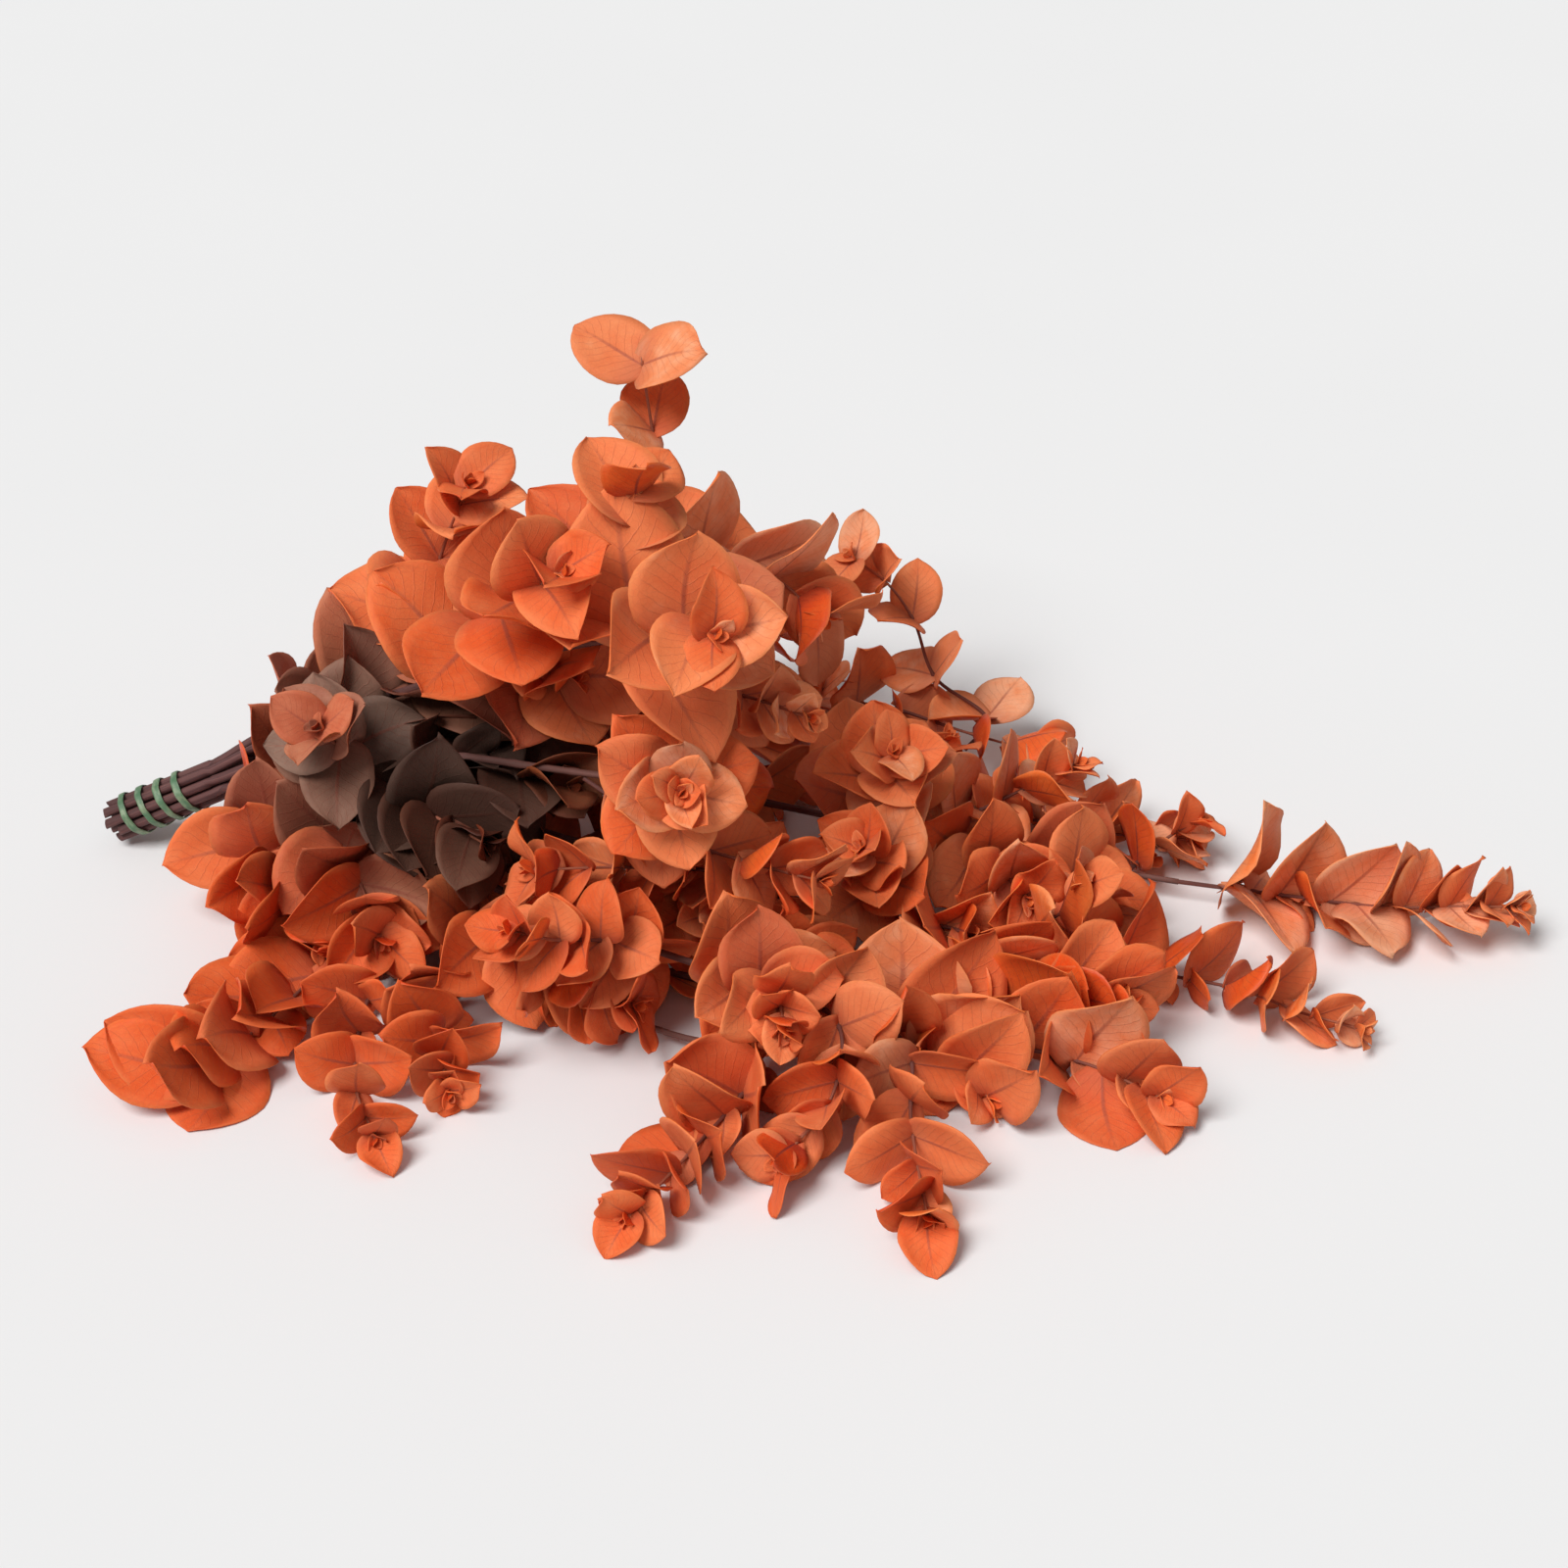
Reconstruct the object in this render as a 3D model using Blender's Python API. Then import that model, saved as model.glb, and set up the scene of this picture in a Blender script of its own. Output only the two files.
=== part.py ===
"""A tied bunch of preserved eucalyptus branches, lying on a table.

Twelve woody stems pass through one band at their cut ends and fan out.
Leafy shoots grow from them: each shoot is a square twig with pairs of thin
leaves, every pair turned a quarter round from the one before it.
World: metres, +Z up, the table is z = 0, the tips point along +X.
"""
import math
import random

import bpy
from mathutils import Matrix, Vector
from mathutils.bvhtree import BVHTree

MM = 0.001

# Bundle: the stems run side by side through the band, then spread.
CUT_CENTRE = Vector((-332, 66, 11)) * MM      # middle of the cut ends
BUNDLE_END = Vector((-272, 63, 41)) * MM      # where the stems part
STEM_RADIUS = 2.5 * MM
STEM_GAP = 0.4 * MM                           # between neighbouring stems
STEM_TIP_RADIUS = 1.5 * MM
STEM_SIDES = 6
STEM_STEP = 32 * MM                           # length of one straight facet
STRAIGHT = 56 * MM                            # run straight through the band

# Band: one strip wound round the bundle.
BAND_TURNS = 4
BAND_PITCH = 10.5 * MM
BAND_WIDTH = 4.2 * MM
BAND_THICK = 0.8 * MM
BAND_START = 7 * MM                           # from the cut ends
BAND_STEPS = 18                               # facets in one turn
BAND_FROM = math.radians(-50)                 # its corners then sit on the stems

# Twigs and leaves.
TWIG_RADIUS = 1.5 * MM
TWIG_TIP_RADIUS = 0.75 * MM
NODE_HEIGHT = 1.6 * MM                        # length of twig that holds one pair
BUD = 3.5 * MM
LEAF_THICK = 0.5 * MM
SMALL_LEAF = 23 * MM                          # below this a leaf is a plain diamond
CLEAR = 0.3 * MM                              # kept between separate pieces
FIRST_PAIR = 0.14                             # share of the twig below its leaves
LIGHT = Vector((0.0, -0.62, 0.78))            # where the leaves turn to

# Stem: lane angle in the bundle (0 back, 90 up, 180 front), lane ring, route (mm).
INNER, OUTER = 1.16, 3.06                     # lane rings, in stem pitches
STEMS = {
    "stem_01": (110, OUTER, ((-236, 55, 73), (-175, 35, 110), (-115, 10, 145),
                             (-70, -15, 170))),
    "stem_02": (70, OUTER, ((-238, 70, 69), (-170, 85, 85), (-110, 95, 115),
                            (-60, 100, 145))),
    "stem_03": (30, OUTER, ((-235, 82, 62), (-155, 115, 52), (-70, 140, 40),
                            (25, 150, 20), (90, 120, 14))),
    "stem_04": (90, INNER, ((-240, 60, 62), (-175, 55, 80), (-110, 40, 105),
                            (-55, 20, 120))),
    "stem_05": (330, INNER, ((-240, 64, 52), (-150, 55, 55), (-55, 45, 48),
                             (40, 38, 30), (125, 28, 16), (190, 15, 12))),
    "stem_06": (350, OUTER, ((-235, 82, 48), (-145, 95, 35), (-40, 100, 20),
                             (50, 100, 10), (100, 80, 9))),
    "stem_07": (210, INNER, ((-235, 54, 53), (-150, 20, 50), (-55, 0, 32),
                             (35, -14, 14), (115, -38, 9))),
    "stem_08": (190, OUTER, ((-235, 40, 55), (-185, 0, 50), (-110, -50, 45),
                             (-25, -85, 35), (35, -105, 34))),
    "stem_09": (230, OUTER, ((-240, 42, 45), (-200, 0, 38), (-135, -50, 16),
                             (-60, -90, 8), (-20, -105, 8))),
    "stem_10": (150, OUTER, ((-238, 45, 64), (-165, 10, 90), (-100, -25, 105),
                             (-55, -45, 112))),
    "stem_11": (310, OUTER, ((-240, 61, 43), (-190, 20, 26), (-95, -30, 9),
                             (0, -70, 8), (95, -100, 8))),
    "stem_12": (270, OUTER, ((-246, 54, 34), (-215, 20, 18), (-185, -20, 8),
                             (-165, -55, 8))),
}
TIP = None
# Shoot: its stem, where it leaves it (x in mm, or TIP), its route (mm), pairs of
# leaves, leaf size at the base and at the tip (mm), first pair's turn (degrees)
# and how far the leaves turn to the light (0 to 1).
SHOOTS = {
    "shoot_01a": ("stem_01", TIP, ((-45, -40, 190), (-30, -60, 200)), 5, 60, 30, 0, 0.7),
    "shoot_01b": ("stem_01", -115, ((-88, 0, 180), (-72, 0, 212), (-65, 5, 232)),
                  6, 57, 33, 0, 0.5),
    "shoot_01c": ("stem_01", -165, ((-144, 20, 145), (-120, -5, 182), (-98, -22, 207)),
                  6, 53, 37, 0, 0.6),
    "shoot_02a": ("stem_02", TIP, ((-57, 106, 180), (-62, 110, 207), (-66, 112, 240)),
                  3, 28, 41, 90, 0.9),
    "shoot_02b": ("stem_02", -170, ((-172, 76, 120), (-166, 70, 145), (-156, 70, 175),
                                    (-146, 66, 200)), 7, 51, 26, 0, 0.4),
    "shoot_02c": ("stem_02", -100, ((-45, 80, 150), (-5, 65, 152), (15, 55, 138)),
                  7, 55, 35, 0, 0.3),
    "shoot_02d": ("stem_02", -220, ((-178, 60, 98), (-140, 37, 119), (-98, 14, 131)),
                  8, 55, 44, 0, 0.6),
    "shoot_03a": ("stem_03", TIP, ((103, 130, 30), (77, 140, 48), (66, 148, 76),
                                   (52, 146, 100), (35, 142, 117)), 5, 35, 24, 0, 0.6),
    "shoot_03b": ("stem_03", 20, ((48, 136, 34), (90, 112, 34), (125, 100, 30)),
                  6, 40, 29, 0, 0.2),
    "shoot_03c": ("stem_03", -75, ((-30, 172, 52), (10, 185, 62)), 7, 48, 31, 0, 0.4),
    "shoot_04a": ("stem_04", TIP, ((-20, -10, 136), (10, -35, 141)), 8, 36, 12, 0, 0.3),
    "shoot_04b": ("stem_04", -80, ((-45, 0, 142), (-25, -22, 162)), 7, 28, 9, 0, 0.3),
    "shoot_04c": ("stem_04", -195, ((-168, 38, 78), (-135, 14, 82), (-100, -10, 86)),
                  9, 53, 35, 0, 0.5),
    "shoot_05a": ("stem_05", TIP, ((235, 5, 12), (285, -5, 12), (320, -10, 16),
                                   (345, -18, 22)), 14, 50, 14, 0, 0.5),
    "shoot_05b": ("stem_05", 70, ((115, 45, 45), (140, 50, 56)), 7, 40, 15, 0, 0.4),
    "shoot_05c": ("stem_05", 165, ((185, 38, 20), (200, 45, 26)), 4, 31, 15, 0, 0.4),
    "shoot_05d": ("stem_05", 40, ((45, 15, 70), (50, 0, 97)), 7, 53, 22, 0, 0.4),
    "shoot_05e": ("stem_05", 75, ((94, 10, 30), (106, -12, 34), (113, -26, 34)),
                  7, 42, 26, 0, 0.2),
    "shoot_05f": ("stem_05", 120, ((138, 0, 23), (150, -18, 20)), 6, 40, 24, 0, 0.2),
    "shoot_06a": ("stem_06", TIP, ((145, 62, 9), (180, 56, 9), (200, 52, 10)),
                  8, 40, 18, 0, 0.3),
    "shoot_06b": ("stem_06", -45, ((-5, 120, 32), (25, 130, 52)), 7, 44, 24, 0, 0.4),
    "shoot_06c": ("stem_06", 30, ((65, 85, 22), (80, 88, 44)), 6, 44, 22, 0, 0.4),
    "shoot_07a": ("stem_07", TIP, ((165, -50, 9), (210, -65, 10), (235, -80, 9),
                                   (260, -94, 11)), 10, 44, 13, 14, 0.2),
    "shoot_07b": ("stem_07", -58, ((-45, -35, 34), (-30, -60, 48)), 8, 40, 14, 0, 0.3),
    "shoot_07c": ("stem_07", 32, ((45, -25, 42), (35, -40, 72)), 7, 44, 22, 0, 0.4),
    "shoot_07d": ("stem_07", 95, ((130, -35, 32), (135, -45, 56)), 6, 53, 22, 0, 0.4),
    "shoot_07e": ("stem_07", -5, ((-25, -45, 62), (-70, -65, 80), (-110, -75, 86)),
                  9, 30, 24, 0, 0.2),
    "shoot_07f": ("stem_07", -212, ((-190, 12, 62), (-165, -15, 74), (-138, -35, 72)),
                  9, 53, 33, 0, 0.4),
    "shoot_07g": ("stem_07", 55, ((80, -38, 24), (105, -60, 22)), 7, 44, 26, 0, 0.3),
    "shoot_08a": ("stem_08", TIP, ((55, -130, 27), (55, -165, 17), (60, -215, 10)),
                  7, 36, 30, 0, 0.4),
    "shoot_08b": ("stem_08", -28, ((-5, -118, 52), (0, -140, 50)), 8, 46, 16, 0, 0.3),
    "shoot_08c": ("stem_08", -65, ((-82, -95, 62), (-100, -105, 70), (-118, -112, 80)),
                  8, 33, 20, 0, 0.4),
    "shoot_08d": ("stem_08", 10, ((25, -130, 38), (20, -160, 25), (0, -185, 15)),
                  8, 36, 24, 0, 0.4),
    "shoot_09a": ("stem_09", TIP, ((-15, -130, 10), (-40, -175, 9), (-65, -215, 9)),
                  9, 46, 22, 0, 0.4),
    "shoot_09b": ("stem_09", -218, ((-206, -8, 50), (-195, -35, 46), (-185, -58, 36)),
                  7, 48, 29, 20, 0.4),
    "shoot_09c": ("stem_09", -162, ((-124, -65, 36), (-92, -88, 32), (-68, -100, 30)),
                  9, 40, 24, 0, 0.2),
    "shoot_10a": ("stem_10", TIP, ((-45, -78, 130),), 8, 42, 13, 0, 0.3),
    "shoot_10b": ("stem_10", -95, ((-50, -55, 90), (-10, -72, 86), (15, -80, 84)),
                  8, 40, 22, 0, 0.2),
    "shoot_10c": ("stem_10", -210, ((-205, 5, 96), (-212, -8, 116)), 6, 42, 24, 0, 0.3),
    "shoot_11a": ("stem_11", TIP, ((135, -118, 10), (165, -140, 10)), 7, 51, 26, 0, 0.5),
    "shoot_11b": ("stem_11", 45, ((60, -110, 16), (90, -140, 10)), 7, 55, 33, 0, 0.5),
    "shoot_11c": ("stem_11", -40, ((-15, -58, 24), (10, -78, 38)), 7, 40, 24, 0, 0.3),
    "shoot_11d": ("stem_11", 75, ((115, -85, 22), (150, -98, 26)), 7, 51, 31, 0, 0.3),
    "shoot_12a": ("stem_12", TIP, ((-158, -95, 9), (-148, -135, 9)), 8, 40, 17, 0, 0.3),
    "shoot_12b": ("stem_12", -182, ((-192, -80, 9), (-190, -130, 9), (-178, -165, 9)),
                  7, 40, 19, 0, 0.3),
    "shoot_12c": ("stem_12", -198, ((-222, -64, 10), (-247, -104, 9), (-262, -124, 10)),
                  9, 46, 46, 20, 0.9),
    "shoot_12d": ("stem_12", -240, ((-250, 22, 34), (-244, -8, 38), (-232, -32, 34),
                                    (-215, -54, 28)), 9, 44, 26, 0, 0.4),
}


# Leaves that lie flat on the table: shoot, pair, side of the twig.
RESTING = (
    ("shoot_12c", 6, 0), ("shoot_09a", 3, 1), ("shoot_11a", 3, 1),
    ("shoot_05a", 3, 0), ("shoot_06a", 1, 1),
)
# What the layout is moved by, so that its middle is at the origin.
MIDDLE = Vector((9.6, -12.1, 0)) * MM


class Path:
    """A smooth route through points, with a frame that doesn't spin."""

    def __init__(self, points):
        self.points = self._smooth(points)
        self.lengths = [0.0]
        for a, b in zip(self.points, self.points[1:]):
            self.lengths.append(self.lengths[-1] + (b - a).length)
        self.length = self.lengths[-1]
        self.sides = self._sides()

    @staticmethod
    def _smooth(points, steps=10):
        ends = [points[0] * 2 - points[1], *points, points[-1] * 2 - points[-2]]
        line = []
        for a, b, c, d in zip(ends, ends[1:], ends[2:], ends[3:]):
            for i in range(steps):
                t = i / steps
                line.append(0.5 * (2 * b + (c - a) * t + (2 * a - 5 * b + 4 * c - d) * t ** 2
                                   + (3 * b - a - 3 * c + d) * t ** 3))
        return line + [points[-1]]

    def _tangent(self, i):
        last = len(self.points) - 1
        return (self.points[min(i + 1, last)] - self.points[max(i - 1, 0)]).normalized()

    def _sides(self):
        side = self._tangent(0).cross(Vector((0, 0, 1))).normalized()
        sides = []
        for i in range(len(self.points)):
            t = self._tangent(i)
            side = (side - t * side.dot(t)).normalized()
            sides.append(side)
        return sides

    def at(self, s):
        """Point, tangent and side vector at the distance s from the start."""
        s = min(max(s, 0.0), self.length)
        i = 0
        while i < len(self.points) - 2 and self.lengths[i + 1] < s:
            i += 1
        f = (s - self.lengths[i]) / (self.lengths[i + 1] - self.lengths[i])
        t = self._tangent(i).lerp(self._tangent(i + 1), f).normalized()
        side = self.sides[i].lerp(self.sides[i + 1], f)
        return (self.points[i].lerp(self.points[i + 1], f), t,
                (side - t * side.dot(t)).normalized())

    def s_at_x(self, x):
        """Distance along the path where it first reaches x."""
        for i, (a, b) in enumerate(zip(self.points, self.points[1:])):
            if (a.x - x) * (b.x - x) <= 0 and a.x != b.x:
                return self.lengths[i] + (b - a).length * (x - a.x) / (b.x - a.x)
        return self.length


def distance(line, point):
    """How far a point is from a line of straight pieces."""
    best = math.inf
    for a, b in zip(line, line[1:]):
        run = b - a
        f = min(1.0, max(0.0, (point - a).dot(run) / run.length_squared))
        best = min(best, (point - a - run * f).length)
    return best


def bundle_frame():
    """Direction of the bundle, and its back and up directions."""
    along = (BUNDLE_END - CUT_CENTRE).normalized()
    back = (Vector((0, 1, 0)) - along * along.y).normalized()
    return along, back, along.cross(back)


def lane(angle, ring):
    """A lane's offset from the middle of the bundle."""
    _, back, up = bundle_frame()
    reach = ring * (STEM_RADIUS + STEM_GAP / 2)
    return (back * math.cos(math.radians(angle)) + up * math.sin(math.radians(angle))) * reach


def stem_paths():
    """The route of each stem, from its cut end."""
    draw = random.Random(3)
    along = bundle_frame()[0]
    paths = {}
    for name, (angle, ring, route) in STEMS.items():
        offset = lane(angle, ring)
        cut = CUT_CENTRE + offset + along * draw.uniform(-2, 4) * MM
        lane_points = [cut.lerp(BUNDLE_END + offset, f) for f in (0, 0.45, 0.9, 1)]
        paths[name] = Path(lane_points + [Vector(p) * MM for p in route])
    return paths


def stem_stations(path):
    """Where a stem's rings sit: one straight piece in the band, then even steps."""
    rest = path.length - STRAIGHT
    count = round(rest / STEM_STEP)
    return [0.0] + [STRAIGHT + rest * i / count for i in range(count + 1)]


def stem_radius(path, s):
    f = max(0.0, (s - 0.08) / (path.length - 0.08))
    return STEM_RADIUS + (STEM_TIP_RADIUS - STEM_RADIUS) * f


def side_of(k, side):
    """Which of the twig's four sides a leaf of pair k grows from."""
    return (k + 2 * side + 3) % 4


class Twig:
    """A shoot's twig: its path, where it starts, and where its pairs sit."""

    def __init__(self, name, stems):
        self.name = name
        stem, x, route, self.pairs, self.base, self.tip, self.turn, self.light = SHOOTS[name]
        host = stems[stem]
        s_host = host.length if x is TIP else host.s_at_x(x * MM)
        start = host.at(s_host)[0]
        self.path = Path([start, *(Vector(p) * MM for p in route)])
        if x is TIP:
            end, t, _ = host.at(host.length)
            clear = lambda corner: (corner - end).dot(t) > CLEAR
        else:
            keep = stem_radius(host, s_host) + CLEAR
            line = [host.at(s)[0] for s in stem_stations(host)]
            clear = lambda corner: distance(line, corner) > keep
        self.start = 0.0
        while not all(clear(corner) for corner in self.ring(self.start)):
            self.start += 0.25 * MM
        span = self.path.length - self.start
        self.spots = []
        for k in range(self.pairs):
            x = k / (self.pairs - 1)
            share = FIRST_PAIR + (1 - FIRST_PAIR) * (1 - (1 - x) ** 1.25)
            self.spots.append(self.start + share * span)

    def radius(self, s):
        f = s / self.path.length
        return TWIG_RADIUS + (TWIG_TIP_RADIUS - TWIG_RADIUS) * f

    def ring(self, s):
        """Four corners round the twig, counter-clockwise about its direction."""
        point, t, side = self.path.at(s)
        start = side.cross(t)
        corners = []
        for j in range(4):
            turn = Matrix.Rotation(math.radians(self.turn + 45 + 90 * j), 3, t)
            corners.append(point + turn @ start * self.radius(s))
        return corners

    def rings(self):
        rings = [self.ring(self.start)]
        for s in self.spots:
            rings.append(self.ring(s - NODE_HEIGHT / 2))
            rings.append(self.ring(s + NODE_HEIGHT / 2))
        return rings

    def foot_loop(self, k, side):
        """The four corners of the twig's side that a leaf grows from."""
        low = self.ring(self.spots[k] - NODE_HEIGHT / 2)
        high = self.ring(self.spots[k] + NODE_HEIGHT / 2)
        j = side_of(k, side)
        return [low[j], low[(j + 1) % 4], high[(j + 1) % 4], high[j]]

    def bud(self):
        point, t, _ = self.path.at(self.spots[-1])
        return point + t * (NODE_HEIGHT / 2 + BUD)


class Leaf:
    """One leaf: a thin plate from the foot on its twig to its tip."""

    WIDEST, MIDDLE, SHOULDER = 0.26, 0.42, 0.64   # shares of the length
    SHOULDER_WIDTH = 0.80

    def __init__(self, foot_loop, along, face, length, width, droop):
        self.foot_loop = foot_loop
        self.foot = sum(foot_loop, Vector()) / 4
        self.along, self.face = along, face
        self.across = face.cross(along)
        self.length, self.width, self.droop = length, width, droop

    def middle(self, share):
        """The midrib's point at a share of the length."""
        droop = self.face * self.droop * self.length * share ** 2
        return self.foot + self.along * self.length * share - droop

    def station(self, share, half_width, thick):
        middle = self.middle(share)
        c, m = self.across * half_width, self.face * thick / 2
        return [middle + c + m, middle - c + m, middle - c - m, middle + c - m]

    def loops(self, thick):
        half = self.width / 2
        if self.length < SMALL_LEAF:
            return [self.station(self.MIDDLE, half, thick)]
        return [self.station(self.WIDEST, half, thick),
                self.station(self.SHOULDER, half * self.SHOULDER_WIDTH, thick)]

    def end(self):
        return self.middle(1)

    def grow(self, points, faces, foot, thick):
        """Add the leaf to a mesh, from the four points of its foot outwards."""
        loop = foot
        for station in self.loops(thick):
            points += station
            outer = list(range(len(points) - 4, len(points)))
            loop = join_loops(faces, loop, outer, points)
        points.append(self.end())
        faces += [(loop[i], loop[(i + 1) % 4], len(points) - 1) for i in range(4)]

    def test_solid(self):
        """Points and faces of the leaf with its clearance round it."""
        points = [self.foot + (p - self.foot) * 1.4 for p in self.foot_loop]
        faces = [(3, 2, 1, 0)]
        self.grow(points, faces, [0, 1, 2, 3], LEAF_THICK + 2 * CLEAR)
        return points, faces


class RestingLeaf(Leaf):
    """A leaf that comes down from its twig and lies flat on the table."""

    def __init__(self, foot_loop, along, length, width):
        flat = Vector((along.x, along.y, 0)).normalized()
        super().__init__(foot_loop, flat, Vector((0, 0, 1)), length, width, 0)

    def middle(self, share):
        point = super().middle(share)
        drop = min(1.0, share / self.WIDEST)
        point.z += (LEAF_THICK / 2 - point.z) * drop
        return point


def candidate(twig, k, side, give, dice):
    """The leaf of pair k on one side of its twig, given way by turn, lift, size."""
    turn, lift, shrink = give
    x = k / (twig.pairs - 1)
    point, t, _ = twig.path.at(twig.spots[k])
    loop = twig.foot_loop(k, side)
    out = (sum(loop, Vector()) / 4 - point).normalized()
    size = (twig.base + (twig.tip - twig.base) * x ** 1.2) * MM * shrink
    rise = math.radians(20 + 28 * x + dice[0] * 11 + lift)
    swing = Matrix.Rotation(math.radians(turn + dice[1] * 11), 3, t)
    along = (swing @ out * math.cos(rise) + t * math.sin(rise)).normalized()
    face = (t - along * t.dot(along)).normalized()
    light = (LIGHT - along * LIGHT.dot(along)).normalized()
    share = min(1.0, max(0.0, twig.light + dice[2] * 0.2))
    face = face.lerp(light, share)
    face = (face - along * face.dot(along)).normalized()
    length = size * (1.02 + 0.12 * dice[3])
    width = size * (0.88 + 0.10 * dice[4])
    if (twig.name, k, side) in RESTING:
        return RestingLeaf(loop, along, length, width)
    return Leaf(loop, along, face, length, width, 0.05 + 0.09 * dice[5])


def ways_to_give():
    """Turn, lift and size changes to try, the smallest change first."""
    ways = []
    for shrink in (1.0, 0.86, 0.72, 0.58, 0.46):
        for lift in (0, 14, -16, 28):
            for turn in (0, 14, -14, 28, -28, 44, -44, 60, -60):
                ways.append((turn, lift, shrink))
    return ways


class Space:
    """What is already there, so that a new leaf can be kept clear of it."""

    def __init__(self):
        self.items = []

    @staticmethod
    def box(points):
        return [(min(p[i] for p in points), max(p[i] for p in points)) for i in range(3)]

    def add(self, owner, points, faces):
        self.items.append((owner, self.box(points), BVHTree.FromPolygons(points, faces)))

    def is_free(self, owner, points, faces):
        box = self.box(points)
        tree = None
        for name, other, there in self.items:
            if name == owner or any(a[0] > b[1] or a[1] < b[0] for a, b in zip(box, other)):
                continue
            tree = tree or BVHTree.FromPolygons(points, faces)
            if tree.overlap(there):
                return False
        return True


def tube(rings, tip=None):
    """Points and faces of a closed tube through rings, with an optional point end."""
    n = len(rings[0])
    points = [p for ring in rings for p in ring]
    faces = [tuple(reversed(range(n)))]
    for i in range(len(rings) - 1):
        faces += [(i * n + j, i * n + (j + 1) % n, (i + 1) * n + (j + 1) % n,
                   (i + 1) * n + j) for j in range(n)]
    last = (len(rings) - 1) * n
    if tip is None:
        faces.append(tuple(last + j for j in range(n)))
    else:
        points.append(tip)
        faces += [(last + j, last + (j + 1) % n, len(points) - 1) for j in range(n)]
    return points, faces


def stem_solid(path):
    """A stem's points and faces: a tapering tube with flat ends."""
    rings = []
    for s in stem_stations(path):
        point, t, side = path.at(s)
        turns = [Matrix.Rotation(math.tau * j / STEM_SIDES, 3, t) for j in range(STEM_SIDES)]
        rings.append([point + turn @ side * stem_radius(path, s) for turn in turns])
    return tube(rings)


def free_leaf(twig, k, side, space):
    """The first leaf that is clear of everything and of the table, or None."""
    draw = random.Random(f"{twig.name} {k} {side}")
    dice = [draw.uniform(-1, 1) for _ in range(6)]
    rests = (twig.name, k, side) in RESTING
    for give in ways_to_give():
        leaf = candidate(twig, k, side, give, dice)
        points, faces = leaf.test_solid()
        low = min(p.z for p in points)
        if (rests or low > CLEAR) and space.is_free("twig of " + twig.name, points, faces):
            space.add(twig.name, points, faces)
            return leaf
    return None


def lay_out():
    """Stems, twigs and leaves, each leaf kept clear of all that was there first."""
    stems = stem_paths()
    twigs = {name: Twig(name, stems) for name in SHOOTS}
    space = Space()
    for name, path in stems.items():
        space.add(name, *stem_solid(path))
    for name, twig in twigs.items():
        space.add("twig of " + name, *tube(twig.rings(), twig.bud()))
    rest = [(name, k, side) for name, twig in twigs.items()
            for k in range(twig.pairs) for side in (0, 1)]
    leaves = {}
    for name, k, side in sorted(rest, key=lambda spot: spot not in RESTING):
        leaves[name, k, side] = free_leaf(twigs[name], k, side, space)
    return stems, twigs, leaves


def join_loops(faces, inner, outer, points):
    """Side faces between two loops of four, with the least twist."""
    middle_in = sum((points[i] for i in inner), Vector()) / 4
    middle_out = sum((points[i] for i in outer), Vector()) / 4

    def twist(shift):
        return -sum((points[inner[j]] - middle_in).normalized()
                    .dot((points[outer[(j + shift) % 4]] - middle_out).normalized())
                    for j in range(4))
    shift = min(range(4), key=twist)
    turned = [outer[(j + shift) % 4] for j in range(4)]
    for j in range(4):
        a, b, c, d = inner[j], inner[(j + 1) % 4], turned[(j + 1) % 4], turned[j]
        faces += [(a, b, c), (a, c, d)]
    return turned


def shoot_solid(name, twig, leaves):
    """A shoot's points and faces: the twig with its leaves grown from its sides."""
    points, faces = tube(twig.rings(), twig.bud())
    for k in range(twig.pairs):
        for side in (0, 1):
            leaf = leaves[name, k, side]
            if leaf is None:
                continue
            j = side_of(k, side)
            low, high = 4 * (2 * k + 1), 4 * (2 * k + 2)
            foot = (low + j, low + (j + 1) % 4, high + (j + 1) % 4, high + j)
            faces.remove(foot)
            leaf.grow(points, faces, list(foot), LEAF_THICK)
    return points, faces


def band_reach(angle):
    """How far the band's inside lies from the bundle's middle at an angle."""
    def support(psi):
        return max(lane(a, ring).length * math.cos(psi - math.radians(a)) + STEM_RADIUS
                   for a, ring, _ in STEMS.values())
    spread = [math.radians(d) for d in range(-80, 81, 5)]
    return min(support(angle + d) / math.cos(d) for d in spread) + CLEAR


def band_solid():
    """The band: a flat strip wound round the bundle, tucked flat at both ends."""
    along, back, up = bundle_frame()
    rings = []
    for i in range(BAND_TURNS * BAND_STEPS + 1):
        turn = i / BAND_STEPS
        angle = BAND_FROM + math.tau * turn
        out = back * math.cos(angle) + up * math.sin(angle)
        middle = CUT_CENTRE + along * (BAND_START + BAND_PITCH * turn)
        inner = middle + out * band_reach(angle)
        outer = inner + out * BAND_THICK
        half = along * BAND_WIDTH / 2
        rings.append([inner - half, inner + half, outer + half, outer - half])
    return tube(rings)


def material(name, colour, roughness):
    mat = bpy.data.materials.new(name)
    mat.use_nodes = True
    shader = mat.node_tree.nodes["Principled BSDF"]
    shader.inputs["Base Color"].default_value = (*colour, 1)
    shader.inputs["Roughness"].default_value = roughness
    return mat


def add_object(name, points, faces, mat):
    mesh = bpy.data.meshes.new(name)
    mesh.from_pydata([tuple(p) for p in points], [], faces)
    mesh.materials.append(mat)
    obj = bpy.data.objects.new(name, mesh)
    obj.location = -MIDDLE
    bpy.context.scene.collection.objects.link(obj)
    return obj


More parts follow.
